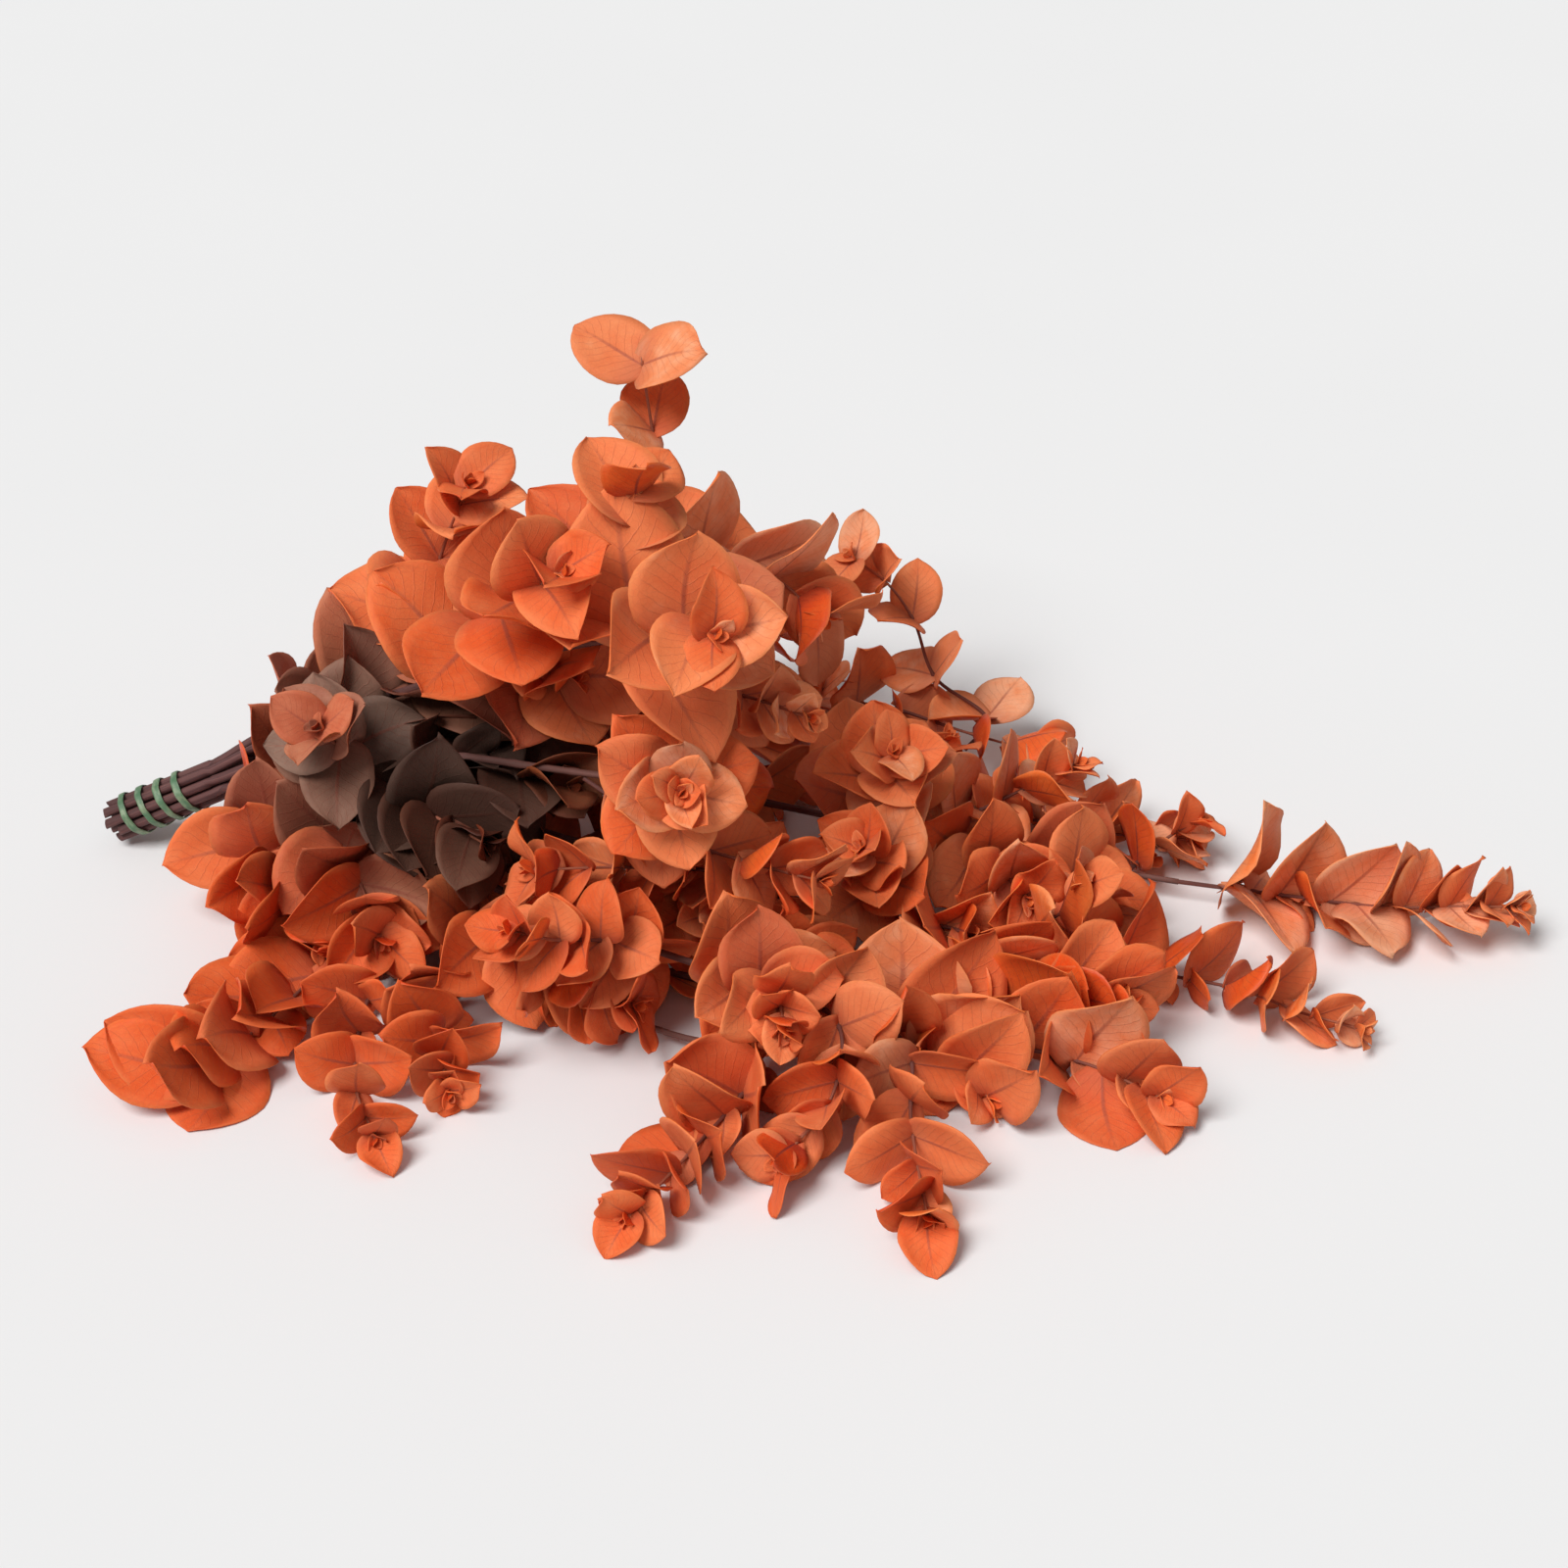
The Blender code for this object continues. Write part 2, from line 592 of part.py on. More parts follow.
def main():
    for obj in list(bpy.data.objects):
        bpy.data.objects.remove(obj)
    stems, twigs, leaves = lay_out()
    for name, path in stems.items():
        add_object(name, *stem_solid(path), material(name, (0.10, 0.035, 0.03), 0.6))
    for name, twig in twigs.items():
        add_object(name, *shoot_solid(name, twig, leaves),
                   material(name, (0.62, 0.12, 0.03), 0.55))
    add_object("tie_band", *band_solid(), material("tie_band", (0.10, 0.22, 0.10), 0.45))


main()
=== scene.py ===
"""The looks of a tied bunch of orange-dyed eucalyptus branches.

The first half repeats the CAD's layout, so that every stem, twig and leaf grows
where its solid is. The second half builds the shown pieces on that layout.
Metres, +Z up, the table is z = 0, the tips point along +X.
"""
import math
import random

import bpy
from mathutils import Matrix, Vector
from mathutils.bvhtree import BVHTree


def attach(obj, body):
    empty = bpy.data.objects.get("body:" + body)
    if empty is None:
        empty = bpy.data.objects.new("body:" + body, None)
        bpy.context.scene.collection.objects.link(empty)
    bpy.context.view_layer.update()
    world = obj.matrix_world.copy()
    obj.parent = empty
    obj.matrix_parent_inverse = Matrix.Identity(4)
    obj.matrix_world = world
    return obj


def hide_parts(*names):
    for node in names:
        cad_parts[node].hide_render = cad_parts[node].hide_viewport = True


MM = 0.001

# Bundle: the stems run side by side through the band, then spread.
CUT_CENTRE = Vector((-332, 66, 11)) * MM      # middle of the cut ends
BUNDLE_END = Vector((-272, 63, 41)) * MM      # where the stems part
STEM_RADIUS = 2.5 * MM
STEM_GAP = 0.4 * MM                           # between neighbouring stems
STEM_TIP_RADIUS = 1.5 * MM
STEM_SIDES = 6
STEM_STEP = 32 * MM                           # length of one straight facet
STRAIGHT = 56 * MM                            # run straight through the band

# Band: one strip wound round the bundle.
BAND_TURNS = 4
BAND_PITCH = 10.5 * MM
BAND_WIDTH = 4.2 * MM
BAND_THICK = 0.8 * MM
BAND_START = 7 * MM                           # from the cut ends
BAND_FROM = math.radians(-50)                 # its corners then sit on the stems

# Twigs and leaves.
TWIG_RADIUS = 1.5 * MM
TWIG_TIP_RADIUS = 0.75 * MM
NODE_HEIGHT = 1.6 * MM                        # length of twig that holds one pair
BUD = 3.5 * MM
LEAF_THICK = 0.5 * MM
SMALL_LEAF = 23 * MM                          # below this a leaf is a plain diamond
CLEAR = 0.3 * MM                              # kept between separate pieces
FIRST_PAIR = 0.14                             # share of the twig below its leaves
LIGHT = Vector((0.0, -0.62, 0.78))            # where the leaves turn to

# Stem: lane angle in the bundle (0 back, 90 up, 180 front), lane ring, route (mm).
INNER, OUTER = 1.16, 3.06                     # lane rings, in stem pitches
STEMS = {
    "stem_01": (110, OUTER, ((-236, 55, 73), (-175, 35, 110), (-115, 10, 145),
                             (-70, -15, 170))),
    "stem_02": (70, OUTER, ((-238, 70, 69), (-170, 85, 85), (-110, 95, 115),
                            (-60, 100, 145))),
    "stem_03": (30, OUTER, ((-235, 82, 62), (-155, 115, 52), (-70, 140, 40),
                            (25, 150, 20), (90, 120, 14))),
    "stem_04": (90, INNER, ((-240, 60, 62), (-175, 55, 80), (-110, 40, 105),
                            (-55, 20, 120))),
    "stem_05": (330, INNER, ((-240, 64, 52), (-150, 55, 55), (-55, 45, 48),
                             (40, 38, 30), (125, 28, 16), (190, 15, 12))),
    "stem_06": (350, OUTER, ((-235, 82, 48), (-145, 95, 35), (-40, 100, 20),
                             (50, 100, 10), (100, 80, 9))),
    "stem_07": (210, INNER, ((-235, 54, 53), (-150, 20, 50), (-55, 0, 32),
                             (35, -14, 14), (115, -38, 9))),
    "stem_08": (190, OUTER, ((-235, 40, 55), (-185, 0, 50), (-110, -50, 45),
                             (-25, -85, 35), (35, -105, 34))),
    "stem_09": (230, OUTER, ((-240, 42, 45), (-200, 0, 38), (-135, -50, 16),
                             (-60, -90, 8), (-20, -105, 8))),
    "stem_10": (150, OUTER, ((-238, 45, 64), (-165, 10, 90), (-100, -25, 105),
                             (-55, -45, 112))),
    "stem_11": (310, OUTER, ((-240, 61, 43), (-190, 20, 26), (-95, -30, 9),
                             (0, -70, 8), (95, -100, 8))),
    "stem_12": (270, OUTER, ((-246, 54, 34), (-215, 20, 18), (-185, -20, 8),
                             (-165, -55, 8))),
}
TIP = None
# Shoot: its stem, where it leaves it (x in mm, or TIP), its route (mm), pairs of
# leaves, leaf size at the base and at the tip (mm), first pair's turn (degrees)
# and how far the leaves turn to the light (0 to 1).
SHOOTS = {
    "shoot_01a": ("stem_01", TIP, ((-45, -40, 190), (-30, -60, 200)), 5, 60, 30, 0, 0.7),
    "shoot_01b": ("stem_01", -115, ((-88, 0, 180), (-72, 0, 212), (-65, 5, 232)),
                  6, 57, 33, 0, 0.5),
    "shoot_01c": ("stem_01", -165, ((-144, 20, 145), (-120, -5, 182), (-98, -22, 207)),
                  6, 53, 37, 0, 0.6),
    "shoot_02a": ("stem_02", TIP, ((-57, 106, 180), (-62, 110, 207), (-66, 112, 240)),
                  3, 28, 41, 90, 0.9),
    "shoot_02b": ("stem_02", -170, ((-172, 76, 120), (-166, 70, 145), (-156, 70, 175),
                                    (-146, 66, 200)), 7, 51, 26, 0, 0.4),
    "shoot_02c": ("stem_02", -100, ((-45, 80, 150), (-5, 65, 152), (15, 55, 138)),
                  7, 55, 35, 0, 0.3),
    "shoot_02d": ("stem_02", -220, ((-178, 60, 98), (-140, 37, 119), (-98, 14, 131)),
                  8, 55, 44, 0, 0.6),
    "shoot_03a": ("stem_03", TIP, ((103, 130, 30), (77, 140, 48), (66, 148, 76),
                                   (52, 146, 100), (35, 142, 117)), 5, 35, 24, 0, 0.6),
    "shoot_03b": ("stem_03", 20, ((48, 136, 34), (90, 112, 34), (125, 100, 30)),
                  6, 40, 29, 0, 0.2),
    "shoot_03c": ("stem_03", -75, ((-30, 172, 52), (10, 185, 62)), 7, 48, 31, 0, 0.4),
    "shoot_04a": ("stem_04", TIP, ((-20, -10, 136), (10, -35, 141)), 8, 36, 12, 0, 0.3),
    "shoot_04b": ("stem_04", -80, ((-45, 0, 142), (-25, -22, 162)), 7, 28, 9, 0, 0.3),
    "shoot_04c": ("stem_04", -195, ((-168, 38, 78), (-135, 14, 82), (-100, -10, 86)),
                  9, 53, 35, 0, 0.5),
    "shoot_05a": ("stem_05", TIP, ((235, 5, 12), (285, -5, 12), (320, -10, 16),
                                   (345, -18, 22)), 14, 50, 14, 0, 0.5),
    "shoot_05b": ("stem_05", 70, ((115, 45, 45), (140, 50, 56)), 7, 40, 15, 0, 0.4),
    "shoot_05c": ("stem_05", 165, ((185, 38, 20), (200, 45, 26)), 4, 31, 15, 0, 0.4),
    "shoot_05d": ("stem_05", 40, ((45, 15, 70), (50, 0, 97)), 7, 53, 22, 0, 0.4),
    "shoot_05e": ("stem_05", 75, ((94, 10, 30), (106, -12, 34), (113, -26, 34)),
                  7, 42, 26, 0, 0.2),
    "shoot_05f": ("stem_05", 120, ((138, 0, 23), (150, -18, 20)), 6, 40, 24, 0, 0.2),
    "shoot_06a": ("stem_06", TIP, ((145, 62, 9), (180, 56, 9), (200, 52, 10)),
                  8, 40, 18, 0, 0.3),
    "shoot_06b": ("stem_06", -45, ((-5, 120, 32), (25, 130, 52)), 7, 44, 24, 0, 0.4),
    "shoot_06c": ("stem_06", 30, ((65, 85, 22), (80, 88, 44)), 6, 44, 22, 0, 0.4),
    "shoot_07a": ("stem_07", TIP, ((165, -50, 9), (210, -65, 10), (235, -80, 9),
                                   (260, -94, 11)), 10, 44, 13, 14, 0.2),
    "shoot_07b": ("stem_07", -58, ((-45, -35, 34), (-30, -60, 48)), 8, 40, 14, 0, 0.3),
    "shoot_07c": ("stem_07", 32, ((45, -25, 42), (35, -40, 72)), 7, 44, 22, 0, 0.4),
    "shoot_07d": ("stem_07", 95, ((130, -35, 32), (135, -45, 56)), 6, 53, 22, 0, 0.4),
    "shoot_07e": ("stem_07", -5, ((-25, -45, 62), (-70, -65, 80), (-110, -75, 86)),
                  9, 30, 24, 0, 0.2),
    "shoot_07f": ("stem_07", -212, ((-190, 12, 62), (-165, -15, 74), (-138, -35, 72)),
                  9, 53, 33, 0, 0.4),
    "shoot_07g": ("stem_07", 55, ((80, -38, 24), (105, -60, 22)), 7, 44, 26, 0, 0.3),
    "shoot_08a": ("stem_08", TIP, ((55, -130, 27), (55, -165, 17), (60, -215, 10)),
                  7, 36, 30, 0, 0.4),
    "shoot_08b": ("stem_08", -28, ((-5, -118, 52), (0, -140, 50)), 8, 46, 16, 0, 0.3),
    "shoot_08c": ("stem_08", -65, ((-82, -95, 62), (-100, -105, 70), (-118, -112, 80)),
                  8, 33, 20, 0, 0.4),
    "shoot_08d": ("stem_08", 10, ((25, -130, 38), (20, -160, 25), (0, -185, 15)),
                  8, 36, 24, 0, 0.4),
    "shoot_09a": ("stem_09", TIP, ((-15, -130, 10), (-40, -175, 9), (-65, -215, 9)),
                  9, 46, 22, 0, 0.4),
    "shoot_09b": ("stem_09", -218, ((-206, -8, 50), (-195, -35, 46), (-185, -58, 36)),
                  7, 48, 29, 20, 0.4),
    "shoot_09c": ("stem_09", -162, ((-124, -65, 36), (-92, -88, 32), (-68, -100, 30)),
                  9, 40, 24, 0, 0.2),
    "shoot_10a": ("stem_10", TIP, ((-45, -78, 130),), 8, 42, 13, 0, 0.3),
    "shoot_10b": ("stem_10", -95, ((-50, -55, 90), (-10, -72, 86), (15, -80, 84)),
                  8, 40, 22, 0, 0.2),
    "shoot_10c": ("stem_10", -210, ((-205, 5, 96), (-212, -8, 116)), 6, 42, 24, 0, 0.3),
    "shoot_11a": ("stem_11", TIP, ((135, -118, 10), (165, -140, 10)), 7, 51, 26, 0, 0.5),
    "shoot_11b": ("stem_11", 45, ((60, -110, 16), (90, -140, 10)), 7, 55, 33, 0, 0.5),
    "shoot_11c": ("stem_11", -40, ((-15, -58, 24), (10, -78, 38)), 7, 40, 24, 0, 0.3),
    "shoot_11d": ("stem_11", 75, ((115, -85, 22), (150, -98, 26)), 7, 51, 31, 0, 0.3),
    "shoot_12a": ("stem_12", TIP, ((-158, -95, 9), (-148, -135, 9)), 8, 40, 17, 0, 0.3),
    "shoot_12b": ("stem_12", -182, ((-192, -80, 9), (-190, -130, 9), (-178, -165, 9)),
                  7, 40, 19, 0, 0.3),
    "shoot_12c": ("stem_12", -198, ((-222, -64, 10), (-247, -104, 9), (-262, -124, 10)),
                  9, 46, 46, 20, 0.9),
    "shoot_12d": ("stem_12", -240, ((-250, 22, 34), (-244, -8, 38), (-232, -32, 34),
                                    (-215, -54, 28)), 9, 44, 26, 0, 0.4),
}


# Leaves that lie flat on the table: shoot, pair, side of the twig.
RESTING = (
    ("shoot_12c", 6, 0), ("shoot_09a", 3, 1), ("shoot_11a", 3, 1),
    ("shoot_05a", 3, 0), ("shoot_06a", 1, 1),
)
# What the layout is moved by, so that its middle is at the origin.
MIDDLE = Vector((9.6, -12.1, 0)) * MM


class Path:
    """A smooth route through points, with a frame that doesn't spin."""

    def __init__(self, points):
        self.points = self._smooth(points)
        self.lengths = [0.0]
        for a, b in zip(self.points, self.points[1:]):
            self.lengths.append(self.lengths[-1] + (b - a).length)
        self.length = self.lengths[-1]
        self.sides = self._sides()

    @staticmethod
    def _smooth(points, steps=10):
        ends = [points[0] * 2 - points[1], *points, points[-1] * 2 - points[-2]]
        line = []
        for a, b, c, d in zip(ends, ends[1:], ends[2:], ends[3:]):
            for i in range(steps):
                t = i / steps
                line.append(0.5 * (2 * b + (c - a) * t
                                   + (2 * a - 5 * b + 4 * c - d) * t ** 2
                                   + (3 * b - a - 3 * c + d) * t ** 3))
        return line + [points[-1]]

    def _tangent(self, i):
        last = len(self.points) - 1
        return (self.points[min(i + 1, last)] - self.points[max(i - 1, 0)]).normalized()

    def _sides(self):
        side = self._tangent(0).cross(Vector((0, 0, 1))).normalized()
        sides = []
        for i in range(len(self.points)):
            t = self._tangent(i)
            side = (side - t * side.dot(t)).normalized()
            sides.append(side)
        return sides

    def at(self, s):
        """Point, tangent and side vector at the distance s from the start."""
        s = min(max(s, 0.0), self.length)
        i = 0
        while i < len(self.points) - 2 and self.lengths[i + 1] < s:
            i += 1
        f = (s - self.lengths[i]) / (self.lengths[i + 1] - self.lengths[i])
        t = self._tangent(i).lerp(self._tangent(i + 1), f).normalized()
        side = self.sides[i].lerp(self.sides[i + 1], f)
        return (self.points[i].lerp(self.points[i + 1], f), t,
                (side - t * side.dot(t)).normalized())

    def s_at_x(self, x):
        """Distance along the path where it first reaches x."""
        for i, (a, b) in enumerate(zip(self.points, self.points[1:])):
            if (a.x - x) * (b.x - x) <= 0 and a.x != b.x:
                return self.lengths[i] + (b - a).length * (x - a.x) / (b.x - a.x)
        return self.length


def distance(line, point):
    """How far a point is from a line of straight pieces."""
    best = math.inf
    for a, b in zip(line, line[1:]):
        run = b - a
        f = min(1.0, max(0.0, (point - a).dot(run) / run.length_squared))
        best = min(best, (point - a - run * f).length)
    return best


def bundle_frame():
    """Direction of the bundle, and its back and up directions."""
    along = (BUNDLE_END - CUT_CENTRE).normalized()
    back = (Vector((0, 1, 0)) - along * along.y).normalized()
    return along, back, along.cross(back)


def lane(angle, ring):
    """A lane's offset from the middle of the bundle."""
    _, back, up = bundle_frame()
    reach = ring * (STEM_RADIUS + STEM_GAP / 2)
    turn = math.radians(angle)
    return (back * math.cos(turn) + up * math.sin(turn)) * reach


def stem_paths():
    """The route of each stem, from its cut end."""
    draw = random.Random(3)
    along = bundle_frame()[0]
    paths = {}
    for name, (angle, ring, route) in STEMS.items():
        offset = lane(angle, ring)
        cut = CUT_CENTRE + offset + along * draw.uniform(-2, 4) * MM
        lane_points = [cut.lerp(BUNDLE_END + offset, f) for f in (0, 0.45, 0.9, 1)]
        paths[name] = Path(lane_points + [Vector(p) * MM for p in route])
    return paths


def stem_stations(path):
    """Where a stem's rings sit: one straight piece in the band, then even steps."""
    rest = path.length - STRAIGHT
    count = round(rest / STEM_STEP)
    return [0.0] + [STRAIGHT + rest * i / count for i in range(count + 1)]


def stem_radius(path, s):
    f = max(0.0, (s - 0.08) / (path.length - 0.08))
    return STEM_RADIUS + (STEM_TIP_RADIUS - STEM_RADIUS) * f


def side_of(k, side):
    """Which of the twig's four sides a leaf of pair k grows from."""
    return (k + 2 * side + 3) % 4


class Twig:
    """A shoot's twig: its path, where it starts, and where its pairs sit."""

    def __init__(self, name, stems):
        self.name = name
        stem, x, route, *growth = SHOOTS[name]
        self.pairs, self.base, self.tip, self.turn, self.light = growth
        host = stems[stem]
        s_host = host.length if x is TIP else host.s_at_x(x * MM)
        start = host.at(s_host)[0]
        self.path = Path([start, *(Vector(p) * MM for p in route)])
        if x is TIP:
            end, t, _ = host.at(host.length)
            clear = lambda corner: (corner - end).dot(t) > CLEAR
        else:
            keep = stem_radius(host, s_host) + CLEAR
            line = [host.at(s)[0] for s in stem_stations(host)]
            clear = lambda corner: distance(line, corner) > keep
        self.start = 0.0
        while not all(clear(corner) for corner in self.ring(self.start)):
            self.start += 0.25 * MM
        span = self.path.length - self.start
        self.spots = []
        for k in range(self.pairs):
            x = k / (self.pairs - 1)
            share = FIRST_PAIR + (1 - FIRST_PAIR) * (1 - (1 - x) ** 1.25)
            self.spots.append(self.start + share * span)

    def radius(self, s):
        f = s / self.path.length
        return TWIG_RADIUS + (TWIG_TIP_RADIUS - TWIG_RADIUS) * f

    def ring(self, s):
        """Four corners round the twig, counter-clockwise about its direction."""
        point, t, side = self.path.at(s)
        start = side.cross(t)
        corners = []
        for j in range(4):
            turn = Matrix.Rotation(math.radians(self.turn + 45 + 90 * j), 3, t)
            corners.append(point + turn @ start * self.radius(s))
        return corners

    def rings(self):
        rings = [self.ring(self.start)]
        for s in self.spots:
            rings.append(self.ring(s - NODE_HEIGHT / 2))
            rings.append(self.ring(s + NODE_HEIGHT / 2))
        return rings

    def foot_loop(self, k, side):
        """The four corners of the twig's side that a leaf grows from."""
        low = self.ring(self.spots[k] - NODE_HEIGHT / 2)
        high = self.ring(self.spots[k] + NODE_HEIGHT / 2)
        j = side_of(k, side)
        return [low[j], low[(j + 1) % 4], high[(j + 1) % 4], high[j]]

    def bud(self):
        point, t, _ = self.path.at(self.spots[-1])
        return point + t * (NODE_HEIGHT / 2 + BUD)


class Leaf:
    """One leaf: a thin plate from the foot on its twig to its tip."""

    WIDEST, MIDDLE, SHOULDER = 0.26, 0.42, 0.64   # shares of the length
    SHOULDER_WIDTH = 0.80

    def __init__(self, foot_loop, along, face, length, width, droop):
        self.foot_loop = foot_loop
        self.foot = sum(foot_loop, Vector()) / 4
        self.along, self.face = along, face
        self.across = face.cross(along)
        self.length, self.width, self.droop = length, width, droop

    def middle(self, share):
        """The midrib's point at a share of the length."""
        droop = self.face * self.droop * self.length * share ** 2
        return self.foot + self.along * self.length * share - droop

    def station(self, share, half_width, thick):
        middle = self.middle(share)
        c, m = self.across * half_width, self.face * thick / 2
        return [middle + c + m, middle - c + m, middle - c - m, middle + c - m]

    def loops(self, thick):
        half = self.width / 2
        if self.length < SMALL_LEAF:
            return [self.station(self.MIDDLE, half, thick)]
        return [self.station(self.WIDEST, half, thick),
                self.station(self.SHOULDER, half * self.SHOULDER_WIDTH, thick)]

    def end(self):
        return self.middle(1)

    def grow(self, points, faces, foot, thick):
        """Add the leaf to a mesh, from the four points of its foot outwards."""
        loop = foot
        for station in self.loops(thick):
            points += station
            outer = list(range(len(points) - 4, len(points)))
            loop = join_loops(faces, loop, outer, points)
        points.append(self.end())
        faces += [(loop[i], loop[(i + 1) % 4], len(points) - 1) for i in range(4)]

    def test_solid(self):
        """Points and faces of the leaf with its clearance round it."""
        points = [self.foot + (p - self.foot) * 1.4 for p in self.foot_loop]
        faces = [(3, 2, 1, 0)]
        self.grow(points, faces, [0, 1, 2, 3], LEAF_THICK + 2 * CLEAR)
        return points, faces


class RestingLeaf(Leaf):
    """A leaf that comes down from its twig and lies flat on the table."""

    def __init__(self, foot_loop, along, length, width):
        flat = Vector((along.x, along.y, 0)).normalized()
        super().__init__(foot_loop, flat, Vector((0, 0, 1)), length, width, 0)

    def middle(self, share):
        point = super().middle(share)
        drop = min(1.0, share / self.WIDEST)
        point.z += (LEAF_THICK / 2 - point.z) * drop
        return point


def candidate(twig, k, side, give, dice):
    """The leaf of pair k on one side of its twig, given way by turn, lift, size."""
    turn, lift, shrink = give
    x = k / (twig.pairs - 1)
    point, t, _ = twig.path.at(twig.spots[k])
    loop = twig.foot_loop(k, side)
    out = (sum(loop, Vector()) / 4 - point).normalized()
    size = (twig.base + (twig.tip - twig.base) * x ** 1.2) * MM * shrink
    rise = math.radians(20 + 28 * x + dice[0] * 11 + lift)
    swing = Matrix.Rotation(math.radians(turn + dice[1] * 11), 3, t)
    along = (swing @ out * math.cos(rise) + t * math.sin(rise)).normalized()
    face = (t - along * t.dot(along)).normalized()
    light = (LIGHT - along * LIGHT.dot(along)).normalized()
    share = min(1.0, max(0.0, twig.light + dice[2] * 0.2))
    face = face.lerp(light, share)
    face = (face - along * face.dot(along)).normalized()
    length = size * (1.02 + 0.12 * dice[3])
    width = size * (0.88 + 0.10 * dice[4])
    if (twig.name, k, side) in RESTING:
        return RestingLeaf(loop, along, length, width)
    return Leaf(loop, along, face, length, width, 0.05 + 0.09 * dice[5])


def ways_to_give():
    """Turn, lift and size changes to try, the smallest change first."""
    ways = []
    for shrink in (1.0, 0.86, 0.72, 0.58, 0.46):
        for lift in (0, 14, -16, 28):
            for turn in (0, 14, -14, 28, -28, 44, -44, 60, -60):
                ways.append((turn, lift, shrink))
    return ways


class Space:
    """What is already there, so that a new leaf can be kept clear of it."""

    def __init__(self):
        self.items = []

    @staticmethod
    def box(points):
        return [(min(p[i] for p in points), max(p[i] for p in points)) for i in range(3)]

    def add(self, owner, points, faces):
        self.items.append((owner, self.box(points), BVHTree.FromPolygons(points, faces)))

    def is_free(self, owner, points, faces):
        box = self.box(points)
        tree = None
        for name, other, there in self.items:
            if name == owner or any(a[0] > b[1] or a[1] < b[0] for a, b in zip(box, other)):
                continue
            tree = tree or BVHTree.FromPolygons(points, faces)
            if tree.overlap(there):
                return False
        return True


def tube(rings, tip=None):
    """Points and faces of a closed tube through rings, with an optional point end."""
    n = len(rings[0])
    points = [p for ring in rings for p in ring]
    faces = [tuple(reversed(range(n)))]
    for i in range(len(rings) - 1):
        faces += [(i * n + j, i * n + (j + 1) % n, (i + 1) * n + (j + 1) % n,
                   (i + 1) * n + j) for j in range(n)]
    last = (len(rings) - 1) * n
    if tip is None:
        faces.append(tuple(last + j for j in range(n)))
    else:
        points.append(tip)
        faces += [(last + j, last + (j + 1) % n, len(points) - 1) for j in range(n)]
    return points, faces


def stem_solid(path):
    """A stem's points and faces: a tapering tube with flat ends."""
    rings = []
    for s in stem_stations(path):
        point, t, side = path.at(s)
        turns = [Matrix.Rotation(math.tau * j / STEM_SIDES, 3, t)
                 for j in range(STEM_SIDES)]
        rings.append([point + turn @ side * stem_radius(path, s) for turn in turns])
    return tube(rings)


def free_leaf(twig, k, side, space):
    """The first leaf that is clear of everything and of the table, or None."""
    draw = random.Random(f"{twig.name} {k} {side}")
    dice = [draw.uniform(-1, 1) for _ in range(6)]
    rests = (twig.name, k, side) in RESTING
    for give in ways_to_give():
        leaf = candidate(twig, k, side, give, dice)
        points, faces = leaf.test_solid()
        low = min(p.z for p in points)
        if (rests or low > CLEAR) and space.is_free("twig of " + twig.name, points, faces):
            space.add(twig.name, points, faces)
            return leaf
    return None


def lay_out():
    """Stems, twigs and leaves, each leaf kept clear of all that was there first."""
    stems = stem_paths()
    twigs = {name: Twig(name, stems) for name in SHOOTS}
    space = Space()
    for name, path in stems.items():
        space.add(name, *stem_solid(path))
    for name, twig in twigs.items():
        space.add("twig of " + name, *tube(twig.rings(), twig.bud()))
    rest = [(name, k, side) for name, twig in twigs.items()
            for k in range(twig.pairs) for side in (0, 1)]
    leaves = {}
    for name, k, side in sorted(rest, key=lambda spot: spot not in RESTING):
        leaves[name, k, side] = free_leaf(twigs[name], k, side, space)
    return stems, twigs, leaves, space


def join_loops(faces, inner, outer, points):
    """Side faces between two loops of four, with the least twist."""
    middle_in = sum((points[i] for i in inner), Vector()) / 4
    middle_out = sum((points[i] for i in outer), Vector()) / 4

    def twist(shift):
        return -sum((points[inner[j]] - middle_in).normalized()
                    .dot((points[outer[(j + shift) % 4]] - middle_out).normalized())
                    for j in range(4))
    shift = min(range(4), key=twist)
    turned = [outer[(j + shift) % 4] for j in range(4)]
    for j in range(4):
        a, b, c, d = inner[j], inner[(j + 1) % 4], turned[(j + 1) % 4], turned[j]
        faces += [(a, b, c), (a, c, d)]
    return turned


def band_reach(angle):
    """How far the band's inside lies from the bundle's middle at an angle."""
    def support(psi):
        return max(lane(a, ring).length * math.cos(psi - math.radians(a)) + STEM_RADIUS
                   for a, ring, _ in STEMS.values())
    spread = [math.radians(d) for d in range(-80, 81, 5)]
    return min(support(angle + d) / math.cos(d) for d in spread) + CLEAR


# ---------------------------------------------------------------- shown pieces

FLOOR_Z = 0.15 * MM                           # nothing shown goes below this
LEAF_SHOWN = 0.35 * MM                        # thickness of a shown leaf
# Leaf outline: share of the length, share of the half width.
OUTLINE = ((-0.02, 0.07), (0.02, 0.38), (0.06, 0.65), (0.12, 0.86), (0.20, 0.99),
           (0.30, 1.06), (0.40, 1.09), (0.50, 1.08), (0.60, 1.01), (0.70, 0.90),
           (0.79, 0.74), (0.87, 0.54), (0.93, 0.33), (0.965, 0.16), (1.0, 0.02))
COLUMNS = 9                                   # points across a leaf
PALE_TOP = 190 * MM                           # above this the painted light fades and the leaves are deeper again
LOBE = 0.13                                   # how far the heart-shaped foot reaches back
# Middle and reach of the heart of the bunch, browned partly for brown leaves and partly
# as painted shade, and of the hollow inside it, where painted shade is nearly black.
HEART = Vector((-182, 16, 86)) * MM
HEART_REACH = Vector((86, 74, 52)) * MM
SHADED_HOLLOW = Vector((-138, 6, 72)) * MM
SHADED_HOLLOW_REACH = Vector((74, 74, 46)) * MM
BARE_TIP = "shoot_02a"                        # no young leaves between its top pair
